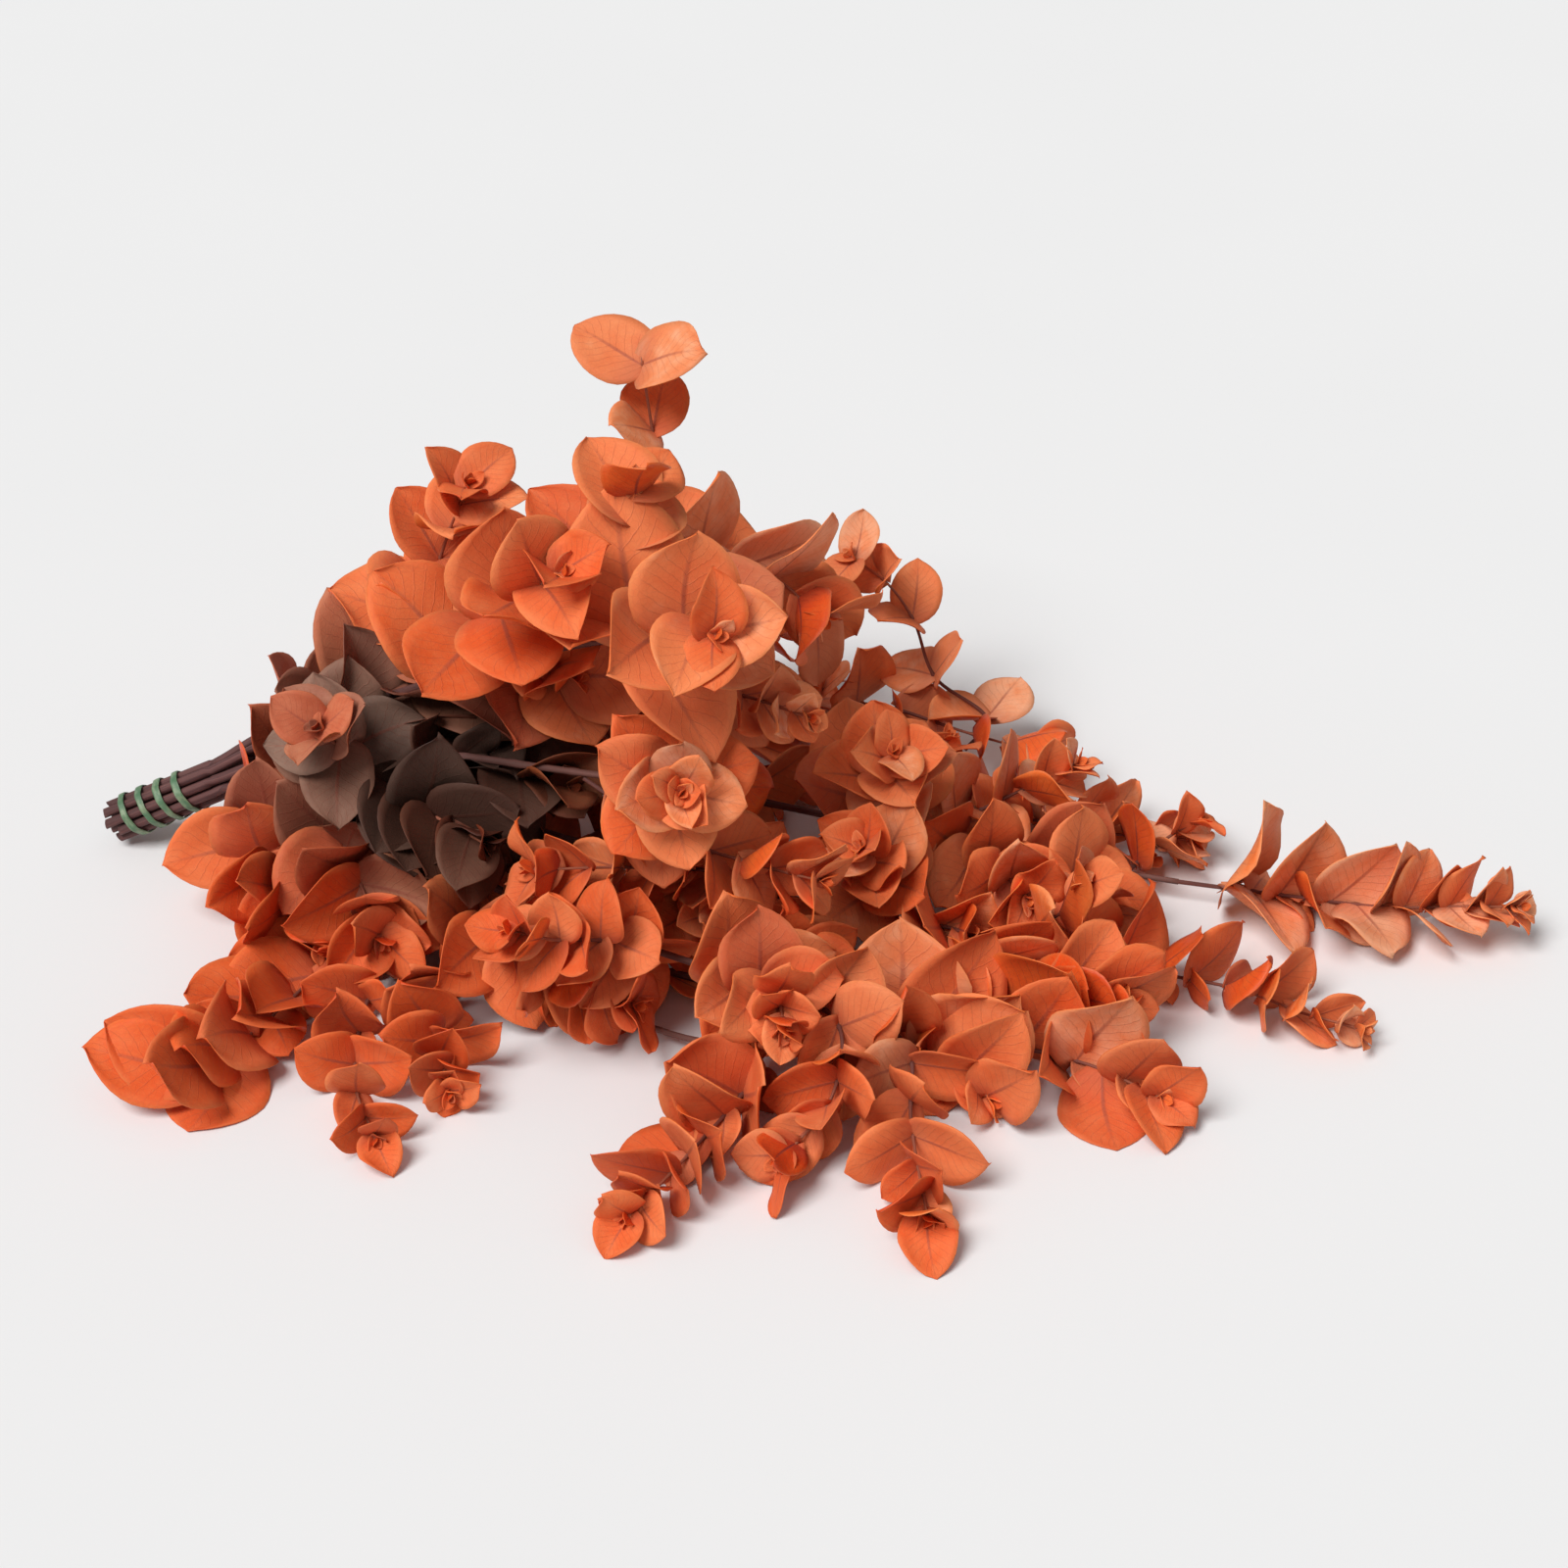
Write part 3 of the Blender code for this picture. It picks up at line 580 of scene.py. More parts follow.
# Leaves on the stems themselves: stem, from x, to x, step, size (mm), turn to light.
INNER_LEAVES = (
    ("stem_10", -240, -150, 20, 34, 0.3), ("stem_12", -250, -200, 16, 32, 0.4),
    ("stem_08", -258, -70, 21, 40, 0.2), ("stem_04", -235, -60, 22, 42, 0.3),
    ("stem_05", -235, -20, 22, 44, 0.2), ("stem_07", -235, -10, 21, 42, 0.2),
    ("stem_11", -225, -30, 24, 38, 0.2), ("stem_02", -240, -140, 24, 42, 0.3),
    ("stem_01", -240, -120, 24, 42, 0.3), ("stem_09", -225, -90, 24, 34, 0.2),
    ("stem_06", -225, 0, 26, 38, 0.2),
)


def clamp(x):
    return min(1.0, max(0.0, x))


class Skin:
    """A mesh in the making: points and faces, and two facts about every point.

    tone: tint with painted light, brownness with painted shade, and painted shade in the
    hollow. grain: the point's place in the surface pattern.
    """

    def __init__(self):
        self.points, self.faces, self.slots = [], [], []
        self.tone, self.grain = [], []

    def point(self, place, tone, grain):
        self.points.append(Vector((place.x, place.y, max(place.z, FLOOR_Z))) - MIDDLE)
        self.tone.append(tone)
        self.grain.append(grain)
        return len(self.points) - 1

    def face(self, corners, slot=0):
        self.faces.append(corners)
        self.slots.append(slot)

    def strip(self, low, high, slot=0, closed=True):
        """Quads between two rows of points."""
        n = len(low)
        for i in range(n if closed else n - 1):
            j = (i + 1) % n
            self.face((low[i], low[j], high[j], high[i]), slot)

    def object(self, name, *mats):
        mesh = bpy.data.meshes.new(name)
        mesh.from_pydata([tuple(p) for p in self.points], [], self.faces)
        for mat in mats:
            mesh.materials.append(mat)
        mesh.polygons.foreach_set("material_index", self.slots)
        mesh.polygons.foreach_set("use_smooth", [True] * len(self.faces))
        tone = mesh.attributes.new("tone", "FLOAT_COLOR", "POINT")
        tone.data.foreach_set("color", [c for t in self.tone for c in (*t, 1.0)])
        grain = mesh.attributes.new("grain", "FLOAT_VECTOR", "POINT")
        grain.data.foreach_set("vector", [c for g in self.grain for c in g])
        obj = bpy.data.objects.new(name, mesh)
        bpy.context.scene.collection.objects.link(obj)
        return obj


def tint_and_light_at(place, draw):
    """Random tint with painted light: paler and more orange to the top and the right,
    redder at the lower left.
    """
    height = place.z - 2.5 * max(0.0, place.z - PALE_TOP)
    return clamp(0.27 + 2.0 * height + 1.6 * place.x + 0.4 * place.y
                 + draw.uniform(-0.42, 0.42))


def near(place, middle, reach, full, fall):
    """How far inside a soft ellipsoid a place is, from 0 to 1."""
    away = place - middle
    far = math.sqrt(sum((away[i] / reach[i]) ** 2 for i in range(3)))
    return clamp(full - fall * far)


def grow_leaf(skin, leaf, seed, flat=False):
    """One shown leaf: folded, cupped and waved, with a heart-shaped foot."""
    draw = random.Random(seed)
    fold = draw.uniform(-0.06, 0.32)
    cup = draw.uniform(-0.20, 0.32)
    wave = draw.uniform(0.04, 0.19)
    phase, beat = draw.uniform(0, 6.28), draw.uniform(4.5, 9.0)
    curl = draw.uniform(-0.14, 0.36)
    twist = draw.uniform(-0.35, 0.35)
    skew = draw.uniform(-0.10, 0.10)
    if flat:
        fold, cup, wave, curl, twist = 0.0, 0.03, 0.02, -0.04, 0.0
    middle = leaf.middle(0.4)
    # tone: tint with painted light, browning for brown leaves and painted shade in the
    # heart, painted shade in the hollow
    tone = (tint_and_light_at(middle, draw),
            clamp(near(middle, HEART, HEART_REACH, 1.7, 1.35) + draw.uniform(-0.2, 0.1)
                  + (draw.uniform(0.1, 0.4) if draw.random() < 0.14 else 0.0)),
            near(middle, SHADED_HOLLOW, SHADED_HOLLOW_REACH, 1.9, 1.5))
    pattern = draw.uniform(0, 40)
    half, rows = leaf.width / 2, []
    for share, width in OUTLINE:
        spin = Matrix.Rotation(twist * share, 3, leaf.along)
        across, face = spin @ leaf.across, spin @ leaf.face
        rib = leaf.middle(max(share, 0)) + leaf.along * leaf.length * min(share, 0)
        rib -= face * leaf.length * curl * max(0.0, share - 0.45) ** 2
        rib += across * half * skew * math.sin(math.pi * clamp(share))
        row = []
        for i in range(COLUMNS):
            u = 2 * i / (COLUMNS - 1) - 1
            a = abs(u)
            reach = half * width
            lift = reach * (fold * a + cup * a * a)
            lift += half * wave * a * a * math.sin(beat * share + phase + 2.2 * (u > 0))
            back = LOBE * leaf.length * a ** 1.6 * (1 - clamp(share)) ** 7
            place = rib + across * reach * u * math.cos(fold) + face * lift
            place -= leaf.along * back
            place.z = max(place.z, FLOOR_Z + LEAF_SHOWN / 2)
            row.append(skin.point(place, tone, (u, share, pattern)))
        rows.append(row)
    for low, high in zip(rows, rows[1:]):
        skin.strip(low, high, closed=False)


class Bough:
    """Pairs of leaves straight on a stem, in the shade inside the bunch."""

    def __init__(self, stem, path, first, last, step, size, light):
        self.stem, self.name, self.path = stem, f"{stem} inner", path
        start, end = path.s_at_x(first * MM), path.s_at_x(last * MM)
        self.pairs = max(2, round((end - start) / (step * MM)) + 1)
        self.spots = [start + (end - start) * k / (self.pairs - 1)
                      for k in range(self.pairs)]
        self.base, self.tip, self.light = size, size * 0.85, light

    def foot_loop(self, k, side):
        point, t, across = self.path.at(self.spots[k])
        out = Matrix.Rotation(math.radians(35 + 90 * k + 180 * side), 3, t) @ across
        foot = point + out * stem_radius(self.path, self.spots[k]) * 0.9
        a, b = t * 0.7 * MM, t.cross(out) * 0.7 * MM
        return [foot - a - b, foot - a + b, foot + a + b, foot + a - b]

    def leaves(self, space):
        """Each leaf that has room among all that is there."""
        for k in range(self.pairs):
            for side in (0, 1):
                draw = random.Random(f"{self.name} {k} {side}")
                dice = [draw.uniform(-1, 1) for _ in range(6)]
                for give in ways_to_give():
                    leaf = candidate(self, k, side, give, dice)
                    points, faces = leaf.test_solid()
                    if min(p.z for p in points) > CLEAR \
                            and space.is_free(self.stem, points, faces):
                        space.add(self.name, points, faces)
                        yield leaf
                        break


def tip_leaves(twig):
    """The small young leaves that close round the end of a twig."""
    point, t, side = twig.path.at(twig.spots[-1])
    size = min(max(9, twig.tip * 0.40), 12) * MM
    for k, (share, rise) in enumerate(((1.0, 48), (0.62, 66))):
        base = point + t * (NODE_HEIGHT / 2 + k * 1.3 * MM)
        for j in range(2):
            spin = Matrix.Rotation(math.radians(twig.turn + 45 + 90 * k + 180 * j), 3, t)
            out = spin @ side
            lean = math.radians(rise)
            along = (out * math.cos(lean) + t * math.sin(lean)).normalized()
            face = (t - along * t.dot(along)).normalized()
            yield Leaf([base] * 4, along, face, size * share, size * share * 0.72, -0.12)


def round_tube(skin, path, start, end, step, sides, radius, tone, slot=0):
    """Rings of points round a path, joined up. Gives back all its rings."""
    rings = []
    count = max(2, round((end - start) / step))
    for i in range(count + 1):
        s = start + (end - start) * i / count
        point, t, side = path.at(s)
        up = side.cross(t)
        ring = []
        for j in range(sides):
            angle = math.tau * j / sides
            out = side * math.cos(angle) - up * math.sin(angle)
            r = radius(s, angle)
            ring.append(skin.point(point + out * r, tone(s),
                                   (math.cos(angle), math.sin(angle), s * 60)))
        rings.append(ring)
    for low, high in zip(rings, rings[1:]):
        skin.strip(low, high, slot)
    return rings


def close_end(skin, rings, place, slot=0, first=False):
    """A fan of faces from an end ring to one point."""
    ring = rings[0] if first else rings[-1]
    tip = skin.point(place, skin.tone[ring[0]], (0, 0, skin.grain[ring[0]][2]))
    n = len(ring)
    for i in range(n):
        j = (i + 1) % n
        skin.face((ring[j], ring[i], tip) if first else (ring[i], ring[j], tip), slot)


def shown_twig(skin, twig):
    """A round twig with a swelling at each pair of leaves, and its bud."""
    def radius(s, angle):
        knot = max((math.exp(-((s - spot) / (1.3 * MM)) ** 2) for spot in twig.spots),
                   default=0)
        return twig.radius(s) * (0.74 + 0.34 * knot)
    end = twig.spots[-1]
    span = end - twig.start
    rings = round_tube(skin, twig.path, twig.start - 1.2 * MM, end, 1.6 * MM, 8, radius,
                       lambda s: (clamp((s - twig.start) / span), 0.0, twig.pairs / 14))
    close_end(skin, rings, twig.bud())


def shown_stem(skin, name, path):
    """A round stem with faint knots, and a slanting cut at its end."""
    draw = random.Random(name)
    tint = draw.random()
    knots = []
    s = 0.10
    while s < path.length:
        knots.append(s)
        s += draw.uniform(0.03, 0.05)

    def radius(s, angle):
        knot = max((math.exp(-((s - k) / (2.2 * MM)) ** 2) for k in knots), default=0)
        oval = 1 + 0.03 * math.sin(2 * angle + 9 * s)
        return stem_radius(path, s) * (0.93 * oval + 0.16 * knot)
    rings = round_tube(skin, path, 0.0, path.length, 4 * MM, 14, radius,
                       lambda s: (clamp(s / path.length), tint, 0.0))
    # The cut: the first ring is cut at a slant, with a narrow bark edge round the wood.
    point, t, side = path.at(0)
    lean = (side * draw.uniform(-1, 1) + side.cross(t) * draw.uniform(-1, 1)) * 0.45
    for i in rings[0]:
        away = skin.points[i] + MIDDLE - point
        skin.points[i] += t * (away.dot(lean) + 0.6 * MM)
    inner = []
    for i in rings[0]:
        away = skin.points[i] + MIDDLE - point
        inner.append(skin.point(point + away * 0.84 + t * 0.15 * MM, skin.tone[i],
                                tuple(c * 0.84 for c in skin.grain[i][:2]) + (0.0,)))
    skin.strip(inner, rings[0])
    close_end(skin, [inner], point + t * 0.9 * MM, slot=1, first=True)
    close_end(skin, rings, path.at(path.length)[0] + path.at(path.length)[1] * MM)


def shown_band(skin):
    """The tie: a soft strip wound round the stems, its two ends tucked flat."""
    along, back, up = bundle_frame()
    steps = 44
    n = 10
    rings = []
    for i in range(BAND_TURNS * steps + 1):
        turn = i / steps
        angle = BAND_FROM + math.tau * turn
        out = back * math.cos(angle) + up * math.sin(angle)
        sag = 0.25 * MM * math.sin(7 * turn) + 0.15 * MM * math.sin(17 * turn)
        middle = CUT_CENTRE + along * (BAND_START + BAND_PITCH * turn + sag)
        inner = middle + out * band_reach(angle)
        narrow = 0.90 + 0.10 * math.sin(11 * turn)
        if i in (0, BAND_TURNS * steps):
            narrow = 0.35
        ring = []
        for j in range(n):
            a = math.tau * j / n
            flat = math.copysign(abs(math.cos(a)) ** 0.6, math.cos(a))
            high = math.copysign(abs(math.sin(a)) ** 0.8, math.sin(a))
            place = inner + out * BAND_THICK * (0.55 + 0.5 * high)
            place += along * BAND_WIDTH / 2 * flat * narrow
            ring.append(skin.point(place, (turn / BAND_TURNS, 0.0, 0.0),
                                   (flat, high, turn * 20)))
        rings.append(ring)
    for low, high in zip(rings, rings[1:]):
        skin.strip(low, high)
    close_end(skin, rings, (skin.points[rings[-1][0]] + skin.points[rings[-1][n // 2]]) / 2
              + MIDDLE)
    close_end(skin, rings, (skin.points[rings[0][0]] + skin.points[rings[0][n // 2]]) / 2
              + MIDDLE, first=True)


# ------------------------------------------------------------------- materials

class Finish:
    """A procedural material, with short ways to make and join its nodes."""

    def __init__(self, name, roughness=0.5, specular=0.4):
        self.mat = bpy.data.materials.new(name)
        self.mat.use_nodes = True
        self.tree = self.mat.node_tree
        self.shader = self.tree.nodes["Principled BSDF"]
        self.shader.inputs["Roughness"].default_value = roughness
        self.shader.inputs["Specular IOR Level"].default_value = specular

    def node(self, kind, inputs=None, out=0, **settings):
        node = self.tree.nodes.new(kind)
        for key, value in settings.items():
            setattr(node, key, value)
        for key, value in (inputs or {}).items():
            if isinstance(value, bpy.types.NodeSocket):
                self.tree.links.new(value, node.inputs[key])
            else:
                node.inputs[key].default_value = value
        return node.outputs[out]

    def math(self, operation, a, b=0.0, limit=False):
        return self.node("ShaderNodeMath", {0: a, 1: b}, operation=operation,
                         use_clamp=limit)

    def ramp(self, value, low, high, to_low=0.0, to_high=1.0):
        return self.node("ShaderNodeMapRange",
                         {0: value, 1: low, 2: high, 3: to_low, 4: to_high},
                         interpolation_type="SMOOTHSTEP")

    def mix(self, share, a, b, blend="MIX"):
        def colour(c):
            return c if isinstance(c, bpy.types.NodeSocket) else (*c, 1.0)
        return self.node("ShaderNodeMix", {0: share, 6: colour(a), 7: colour(b)}, out=2,
                         data_type="RGBA", blend_type=blend)

    def fact(self, name, out):
        return self.node("ShaderNodeAttribute", out=out, attribute_name=name)

    def parts(self, vector):
        node = self.tree.nodes.new("ShaderNodeSeparateXYZ")
        self.tree.links.new(vector, node.inputs[0])
        return node.outputs

    def noise(self, vector, scale, detail=3.0, rough=0.55):
        return self.node("ShaderNodeTexNoise",
                         {"Vector": vector, "Scale": scale, "Detail": detail,
                          "Roughness": rough}, out=0)

    def stretch(self, vector, scale):
        return self.node("ShaderNodeVectorMath", {0: vector, 1: scale},
                         operation="MULTIPLY")

    def bump(self, height, strength, reach):
        normal = self.node("ShaderNodeBump", {"Height": height, "Strength": strength,
                                              "Distance": reach})
        self.tree.links.new(normal, self.shader.inputs["Normal"])

    def set(self, **links):
        for key, socket in links.items():
            self.tree.links.new(socket, self.shader.inputs[key.replace("_", " ")])


def leaf_finish(name, deep, light, pale, brown, rib, under):
    """Dyed leaf: tint with painted light, blotches, midrib, side veins, fine net, paler
    rim, browning and painted shade.
    """
    f = Finish(name, specular=0.22 if under else 0.32)
    grain, tone = f.fact("grain", 1), f.fact("tone", 1)
    u, v, _ = f.parts(grain)
    tint, browning_and_shade, painted_shade = f.parts(tone)
    a = f.math("ABSOLUTE", u)
    surface = f.stretch(grain, (1.0, 2.0, 1.0))
    blotch = f.noise(surface, 1.7, 3.0)
    fine = f.noise(surface, 14.0, 4.0, 0.65)
    # Veins: the midrib, pairs of side veins that bend forward, and a fine net.
    midrib = f.math("MULTIPLY", f.ramp(a, 0.015, 0.07, 1.0, 0.0),
                    f.ramp(v, 0.25, 0.95, 1.0, 0.22))
    lag = f.math("MULTIPLY", f.math("POWER", a, 0.85), 0.34)
    drift = f.math("MULTIPLY", f.math("SUBTRACT", blotch, 0.5), 0.12)
    order = f.math("ADD", f.math("SUBTRACT", v, lag), drift)
    comb = f.math("PINGPONG", f.math("MULTIPLY", order, 9.0), 0.5)
    veins = f.math("MULTIPLY", f.ramp(comb, 0.0, 0.075, 1.0, 0.0),
                   f.ramp(a, 0.55, 0.97, 1.0, 0.0))
    net = f.node("ShaderNodeTexVoronoi", {"Vector": surface, "Scale": 9.0},
                 feature="DISTANCE_TO_EDGE")
    net = f.ramp(net, 0.0, 0.09, 1.0, 0.0)
    # Colour.
    # the leaf's tint with painted light: paler, then pale salmon, towards the top and the
    # right
    tint_and_light = f.math("ADD", f.math("MULTIPLY", tint, 0.85),
                  f.math("MULTIPLY", f.math("SUBTRACT", blotch, 0.45), 0.75), limit=True)
    colour = f.mix(tint_and_light, deep, light)
    colour = f.mix(f.ramp(tint_and_light, 0.62, 1.0, 0.0, 0.8), colour, pale)
    colour = f.mix(f.math("MULTIPLY", f.ramp(fine, 0.45, 0.75), 0.12), colour,
                   (0.96, 0.38, 0.11))
    # brown leaves, and painted shade in the heart of the bunch, as browning
    dull = f.mix(blotch, tuple(c * 0.62 for c in brown), tuple(c * 1.5 for c in brown))
    colour = f.mix(browning_and_shade, colour, dull)
    colour = f.mix(f.ramp(v, 0.0, 0.34, 0.42, 0.0), colour, rib)
    colour = f.mix(f.math("MULTIPLY", net, 0.10), colour, rib)
    colour = f.mix(f.math("MULTIPLY", veins, 0.26), colour, rib)
    colour = f.mix(f.math("MULTIPLY", midrib, 0.72), colour, rib)
    rim = f.math("MULTIPLY", f.ramp(a, 0.90, 1.0, 0.0, 0.16),
                 f.math("SUBTRACT", 1.0, browning_and_shade))
    colour = f.mix(rim, colour, (0.96, 0.38, 0.12))
    # painted shade: leaves in the hollow inside the bunch are darkened nearly to black
    colour = f.mix(f.math("MULTIPLY", painted_shade, 0.86), colour, (0.030, 0.011, 0.007))
    rough = f.node("ShaderNodeMapRange", {0: fine, 1: 0.3, 2: 0.7,
                                          3: 0.58 if under else 0.40,
                                          4: 0.74 if under else 0.56})
    height = f.math("ADD", f.math("MULTIPLY", f.math("ADD", midrib, veins),
                                  0.6 if under else -0.5),
                    f.math("MULTIPLY", f.math("ADD", fine, net), 0.22))
    f.bump(height, 0.55, 0.35 * MM)
    f.set(Base_Color=colour, Roughness=rough)
    return f.mat


def bark_finish(name, dark, light, ring):
    """Bark: streaks that run along the wood, lenticels, dark patches, and a paler tint
    towards the tip.
    """
    f = Finish(name, specular=0.35)
    grain, tone = f.fact("grain", 1), f.fact("tone", 1)
    age, _, _ = f.parts(tone)
    streak = f.noise(f.stretch(grain, (2.4, 2.4, 0.16)), 2.4, 5.0, 0.7)
    speck = f.node("ShaderNodeTexVoronoi",
                   {"Vector": f.stretch(grain, (1.2, 1.2, 1.0)), "Scale": 1.5},
                   feature="F1")
    speck = f.ramp(speck, 0.10, 0.22, 1.0, 0.0)
    patch = f.noise(f.stretch(grain, (0.7, 0.7, 0.35)), 1.0, 2.0)
    colour = f.mix(f.ramp(streak, 0.34, 0.68), dark, light)
    colour = f.mix(f.math("MULTIPLY", f.ramp(patch, 0.48, 0.70), 0.45), colour,
                   tuple(c * 0.42 for c in dark))
    colour = f.mix(f.math("MULTIPLY", speck, 0.35), colour, ring)
    colour = f.mix(f.ramp(age, 0.35, 1.0, 0.0, 0.55), colour, ring)
    rough = f.node("ShaderNodeMapRange", {0: streak, 1: 0.3, 2: 0.7, 3: 0.48, 4: 0.78})
    height = f.math("ADD", streak, f.math("MULTIPLY", speck, 0.3))
    f.bump(height, 0.6, 0.4 * MM)
    f.set(Base_Color=colour, Roughness=rough)
    return f.mat


def cut_finish(name):
    """The cut end of a stem: rings of dark wood round a pale pith."""
    f = Finish(name, specular=0.25)
    grain = f.fact("grain", 1)
    flat = f.stretch(grain, (1.0, 1.0, 0.0))
    reach = f.node("ShaderNodeVectorMath", {0: flat}, out=1, operation="LENGTH")
    blur = f.noise(flat, 6.0, 4.0)
    rings = f.math("SINE", f.math("ADD", f.math("MULTIPLY", reach, 34.0),
                                  f.math("MULTIPLY", blur, 5.0)))
    colour = f.mix(f.ramp(rings, -1.0, 1.0), (0.10, 0.045, 0.035), (0.22, 0.12, 0.08))
    colour = f.mix(f.ramp(reach, 0.05, 0.30, 0.8, 0.0), colour, (0.42, 0.27, 0.17))
    rough = f.node("ShaderNodeMapRange", {0: blur, 1: 0.3, 2: 0.7, 3: 0.7, 4: 0.92})
    f.bump(f.math("ADD", rings, blur), 0.4, 0.2 * MM)
    f.set(Base_Color=colour, Roughness=rough)
    return f.mat


def tie_finish(name):
    """Stretchy green tape: fine ribs along it, paler where it is stretched."""
    f = Finish(name, specular=0.5)
    grain = f.fact("grain", 1)
    across, high, _ = f.parts(grain)
    ribs = f.math("SINE", f.math("MULTIPLY", across, 22.0))
    cloud = f.noise(grain, 0.55, 3.0)
    crinkle = f.noise(f.stretch(grain, (1.0, 1.0, 2.5)), 2.2, 3.0)
    colour = f.mix(f.ramp(cloud, 0.38, 0.66), (0.060, 0.16, 0.075), (0.21, 0.29, 0.165))
    colour = f.mix(f.math("MULTIPLY", f.ramp(ribs, 0.2, 1.0), 0.22), colour,
                   (0.42, 0.52, 0.34))
    # painted shade: the band is darker on its inside, where it lies against the stems
    colour = f.mix(f.ramp(high, -0.2, -1.0, 0.0, 0.5), colour, (0.02, 0.06, 0.03))
    rough = f.node("ShaderNodeMapRange", {0: crinkle, 1: 0.3, 2: 0.7, 3: 0.28, 4: 0.52})
    f.bump(f.math("ADD", f.math("MULTIPLY", ribs, 0.3), crinkle), 0.5, 0.25 * MM)
    f.set(Base_Color=colour, Roughness=rough)
    return f.mat


def floor_finish(name):
    """A plain pale table top with the faintest mottle."""
    f = Finish(name, specular=0.2)
    place = f.node("ShaderNodeNewGeometry", out=0)
    cloud = f.noise(place, 3.0, 2.0)
    colour = f.mix(cloud, (0.835, 0.835, 0.835), (0.85, 0.85, 0.85))
    rough = f.node("ShaderNodeMapRange", {0: cloud, 1: 0.3, 2: 0.7, 3: 0.8, 4: 0.9})
    f.set(Base_Color=colour, Roughness=rough)
    return f.mat


# ----------------------------------------------------------- floor, light, camera

WORLD_LIGHT = 0.30
KEY_LIGHT = 2.75
KEY_FROM = (-1.1, -1.0, 2.2)
KEY_SPREAD = math.radians(32)                 # a broad sun, for the photo's soft shade
CAMERA_RISE = math.radians(35)
CAMERA_DISTANCE = 1.418                       # metres
CAMERA_AIMS_AT = 0.080                        # height over the table, metres
CAMERA_LENS, CAMERA_SENSOR = 70, 36           # millimetres
FLOOR_HALF = 6                                # metres


def stage_floor():
    f = FLOOR_HALF
    mesh = bpy.data.meshes.new("floor")
    mesh.from_pydata([(-f, -f, 0), (f, -f, 0), (f, f, 0), (-f, f, 0)], [], [(0, 1, 2, 3)])
    mesh.materials.append(floor_finish("floor"))
    floor = bpy.data.objects.new("floor", mesh)
    bpy.context.scene.collection.objects.link(floor)


def add_light(name, kind, energy, place, target, **settings):
    light = bpy.data.lights.new(name, kind)
    light.energy = energy
    for key, value in settings.items():
        setattr(light, key, value)
    obj = bpy.data.objects.new(name, light)
    place, target = Vector(place), Vector(target)
    obj.location = place
    obj.rotation_euler = (target - place).to_track_quat("-Z", "Y").to_euler()
    bpy.context.scene.collection.objects.link(obj)


def light_and_camera():
    scene = bpy.context.scene
    world = bpy.data.worlds.new("studio")
    world.use_nodes = True
    world.node_tree.nodes["Background"].inputs[0].default_value = (1, 1, 1, 1)
    world.node_tree.nodes["Background"].inputs[1].default_value = WORLD_LIGHT
    scene.world = world
    add_light("key", "SUN", KEY_LIGHT, KEY_FROM, (0, 0, 0), angle=KEY_SPREAD)
    scene.view_settings.view_transform = "Standard"

    target = Vector((0, 0, CAMERA_AIMS_AT)) - MIDDLE
    away = Vector((0, -math.cos(CAMERA_RISE), math.sin(CAMERA_RISE)))
    camera = bpy.data.objects.new("camera", bpy.data.cameras.new("camera"))
    camera.data.lens = CAMERA_LENS
    camera.data.sensor_width = CAMERA_SENSOR
    camera.location = target + away * CAMERA_DISTANCE
    camera.rotation_euler = (math.pi / 2 - CAMERA_RISE, 0, 0)
    scene.collection.objects.link(camera)
    scene.camera = camera


def thicken(blade):
    """Leaves get their thickness, and the underside its own finish."""
    sheet = blade.modifiers.new("thickness", "SOLIDIFY")
    sheet.thickness = LEAF_SHOWN
    sheet.offset = 0.0
    sheet.material_offset = 1
    return blade


def ready(obj, slot, *nodes):
    """The piece rides on the one body, and stands for its CAD solids."""
    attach(obj, "root")
    if nodes:
        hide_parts(*nodes)


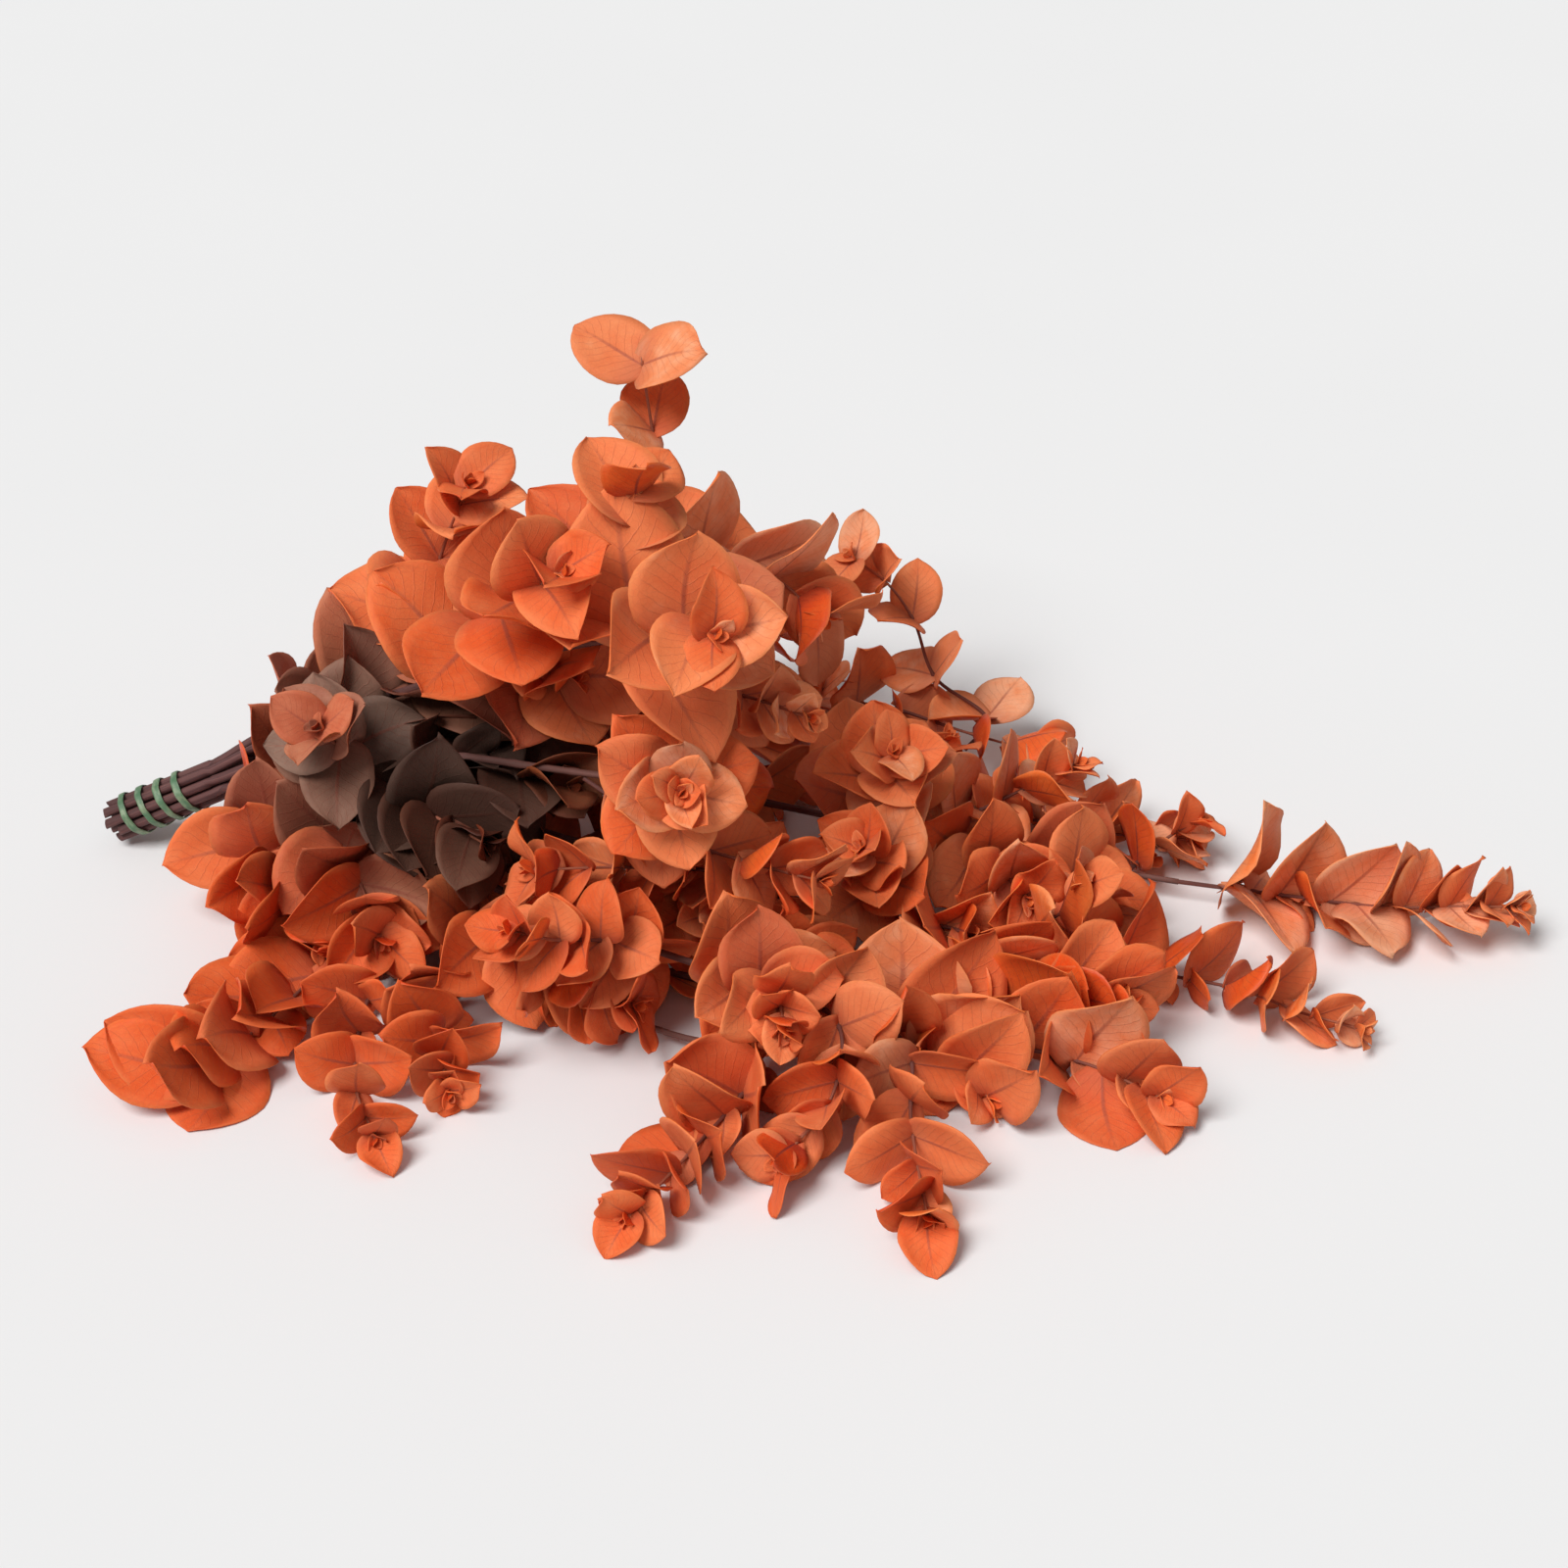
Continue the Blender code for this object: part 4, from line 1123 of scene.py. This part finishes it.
def build():
    stems, twigs, leaves, space = lay_out()
    orange = leaf_finish("dyed_leaf_upper", (0.74, 0.062, 0.007), (0.97, 0.230, 0.042),
                         (0.96, 0.350, 0.150),
                         (0.13, 0.058, 0.036), (0.15, 0.035, 0.040), under=False)
    salmon = leaf_finish("dyed_leaf_under", (0.80, 0.125, 0.028), (0.96, 0.33, 0.13),
                         (0.95, 0.46, 0.27),
                         (0.27, 0.160, 0.115), (0.40, 0.10, 0.06), under=True)
    bark = bark_finish("stem_bark", (0.070, 0.025, 0.026), (0.19, 0.080, 0.070),
                       (0.20, 0.085, 0.06))
    twig_bark = bark_finish("twig_bark", (0.11, 0.035, 0.030), (0.24, 0.075, 0.05),
                            (0.55, 0.17, 0.08))
    for name, twig in twigs.items():
        skin = Skin()
        for k in range(twig.pairs):
            for side in (0, 1):
                leaf = leaves[name, k, side]
                if leaf is not None:
                    grow_leaf(skin, leaf, f"look {name} {k} {side}",
                              flat=isinstance(leaf, RestingLeaf))
        if name != BARE_TIP:
            for i, leaf in enumerate(tip_leaves(twig)):
                grow_leaf(skin, leaf, f"tip {name} {i}")
        ready(thicken(skin.object(f"{name}.leaves", orange, salmon)), "dyed_leaf", name)
    for row in INNER_LEAVES:
        bough = Bough(row[0], stems[row[0]], *row[1:])
        skin = Skin()
        for i, leaf in enumerate(bough.leaves(space)):
            grow_leaf(skin, leaf, f"{bough.name} {i}")
        ready(thicken(skin.object(f"{row[0]}.leaves", orange, salmon)), "dyed_leaf")
    skin = Skin()
    for twig in twigs.values():
        shown_twig(skin, twig)
    ready(skin.object("twigs", twig_bark), "stem_bark")
    cut = cut_finish("cut_wood")
    for name, path in stems.items():
        skin = Skin()
        shown_stem(skin, name, path)
        ready(skin.object(f"{name}.shown", bark, cut), "stem_bark", name)
    skin = Skin()
    shown_band(skin)
    ready(skin.object("tie_band.shown", tie_finish("tie_tape")), "tie_band", "tie_band")


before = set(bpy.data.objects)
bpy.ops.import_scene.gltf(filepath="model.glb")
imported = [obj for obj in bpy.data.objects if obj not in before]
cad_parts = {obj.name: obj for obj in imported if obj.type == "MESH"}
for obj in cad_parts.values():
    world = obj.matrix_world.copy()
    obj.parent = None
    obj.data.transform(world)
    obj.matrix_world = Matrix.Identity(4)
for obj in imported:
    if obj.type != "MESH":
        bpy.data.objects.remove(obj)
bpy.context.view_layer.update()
build()
stage_floor()
light_and_camera()
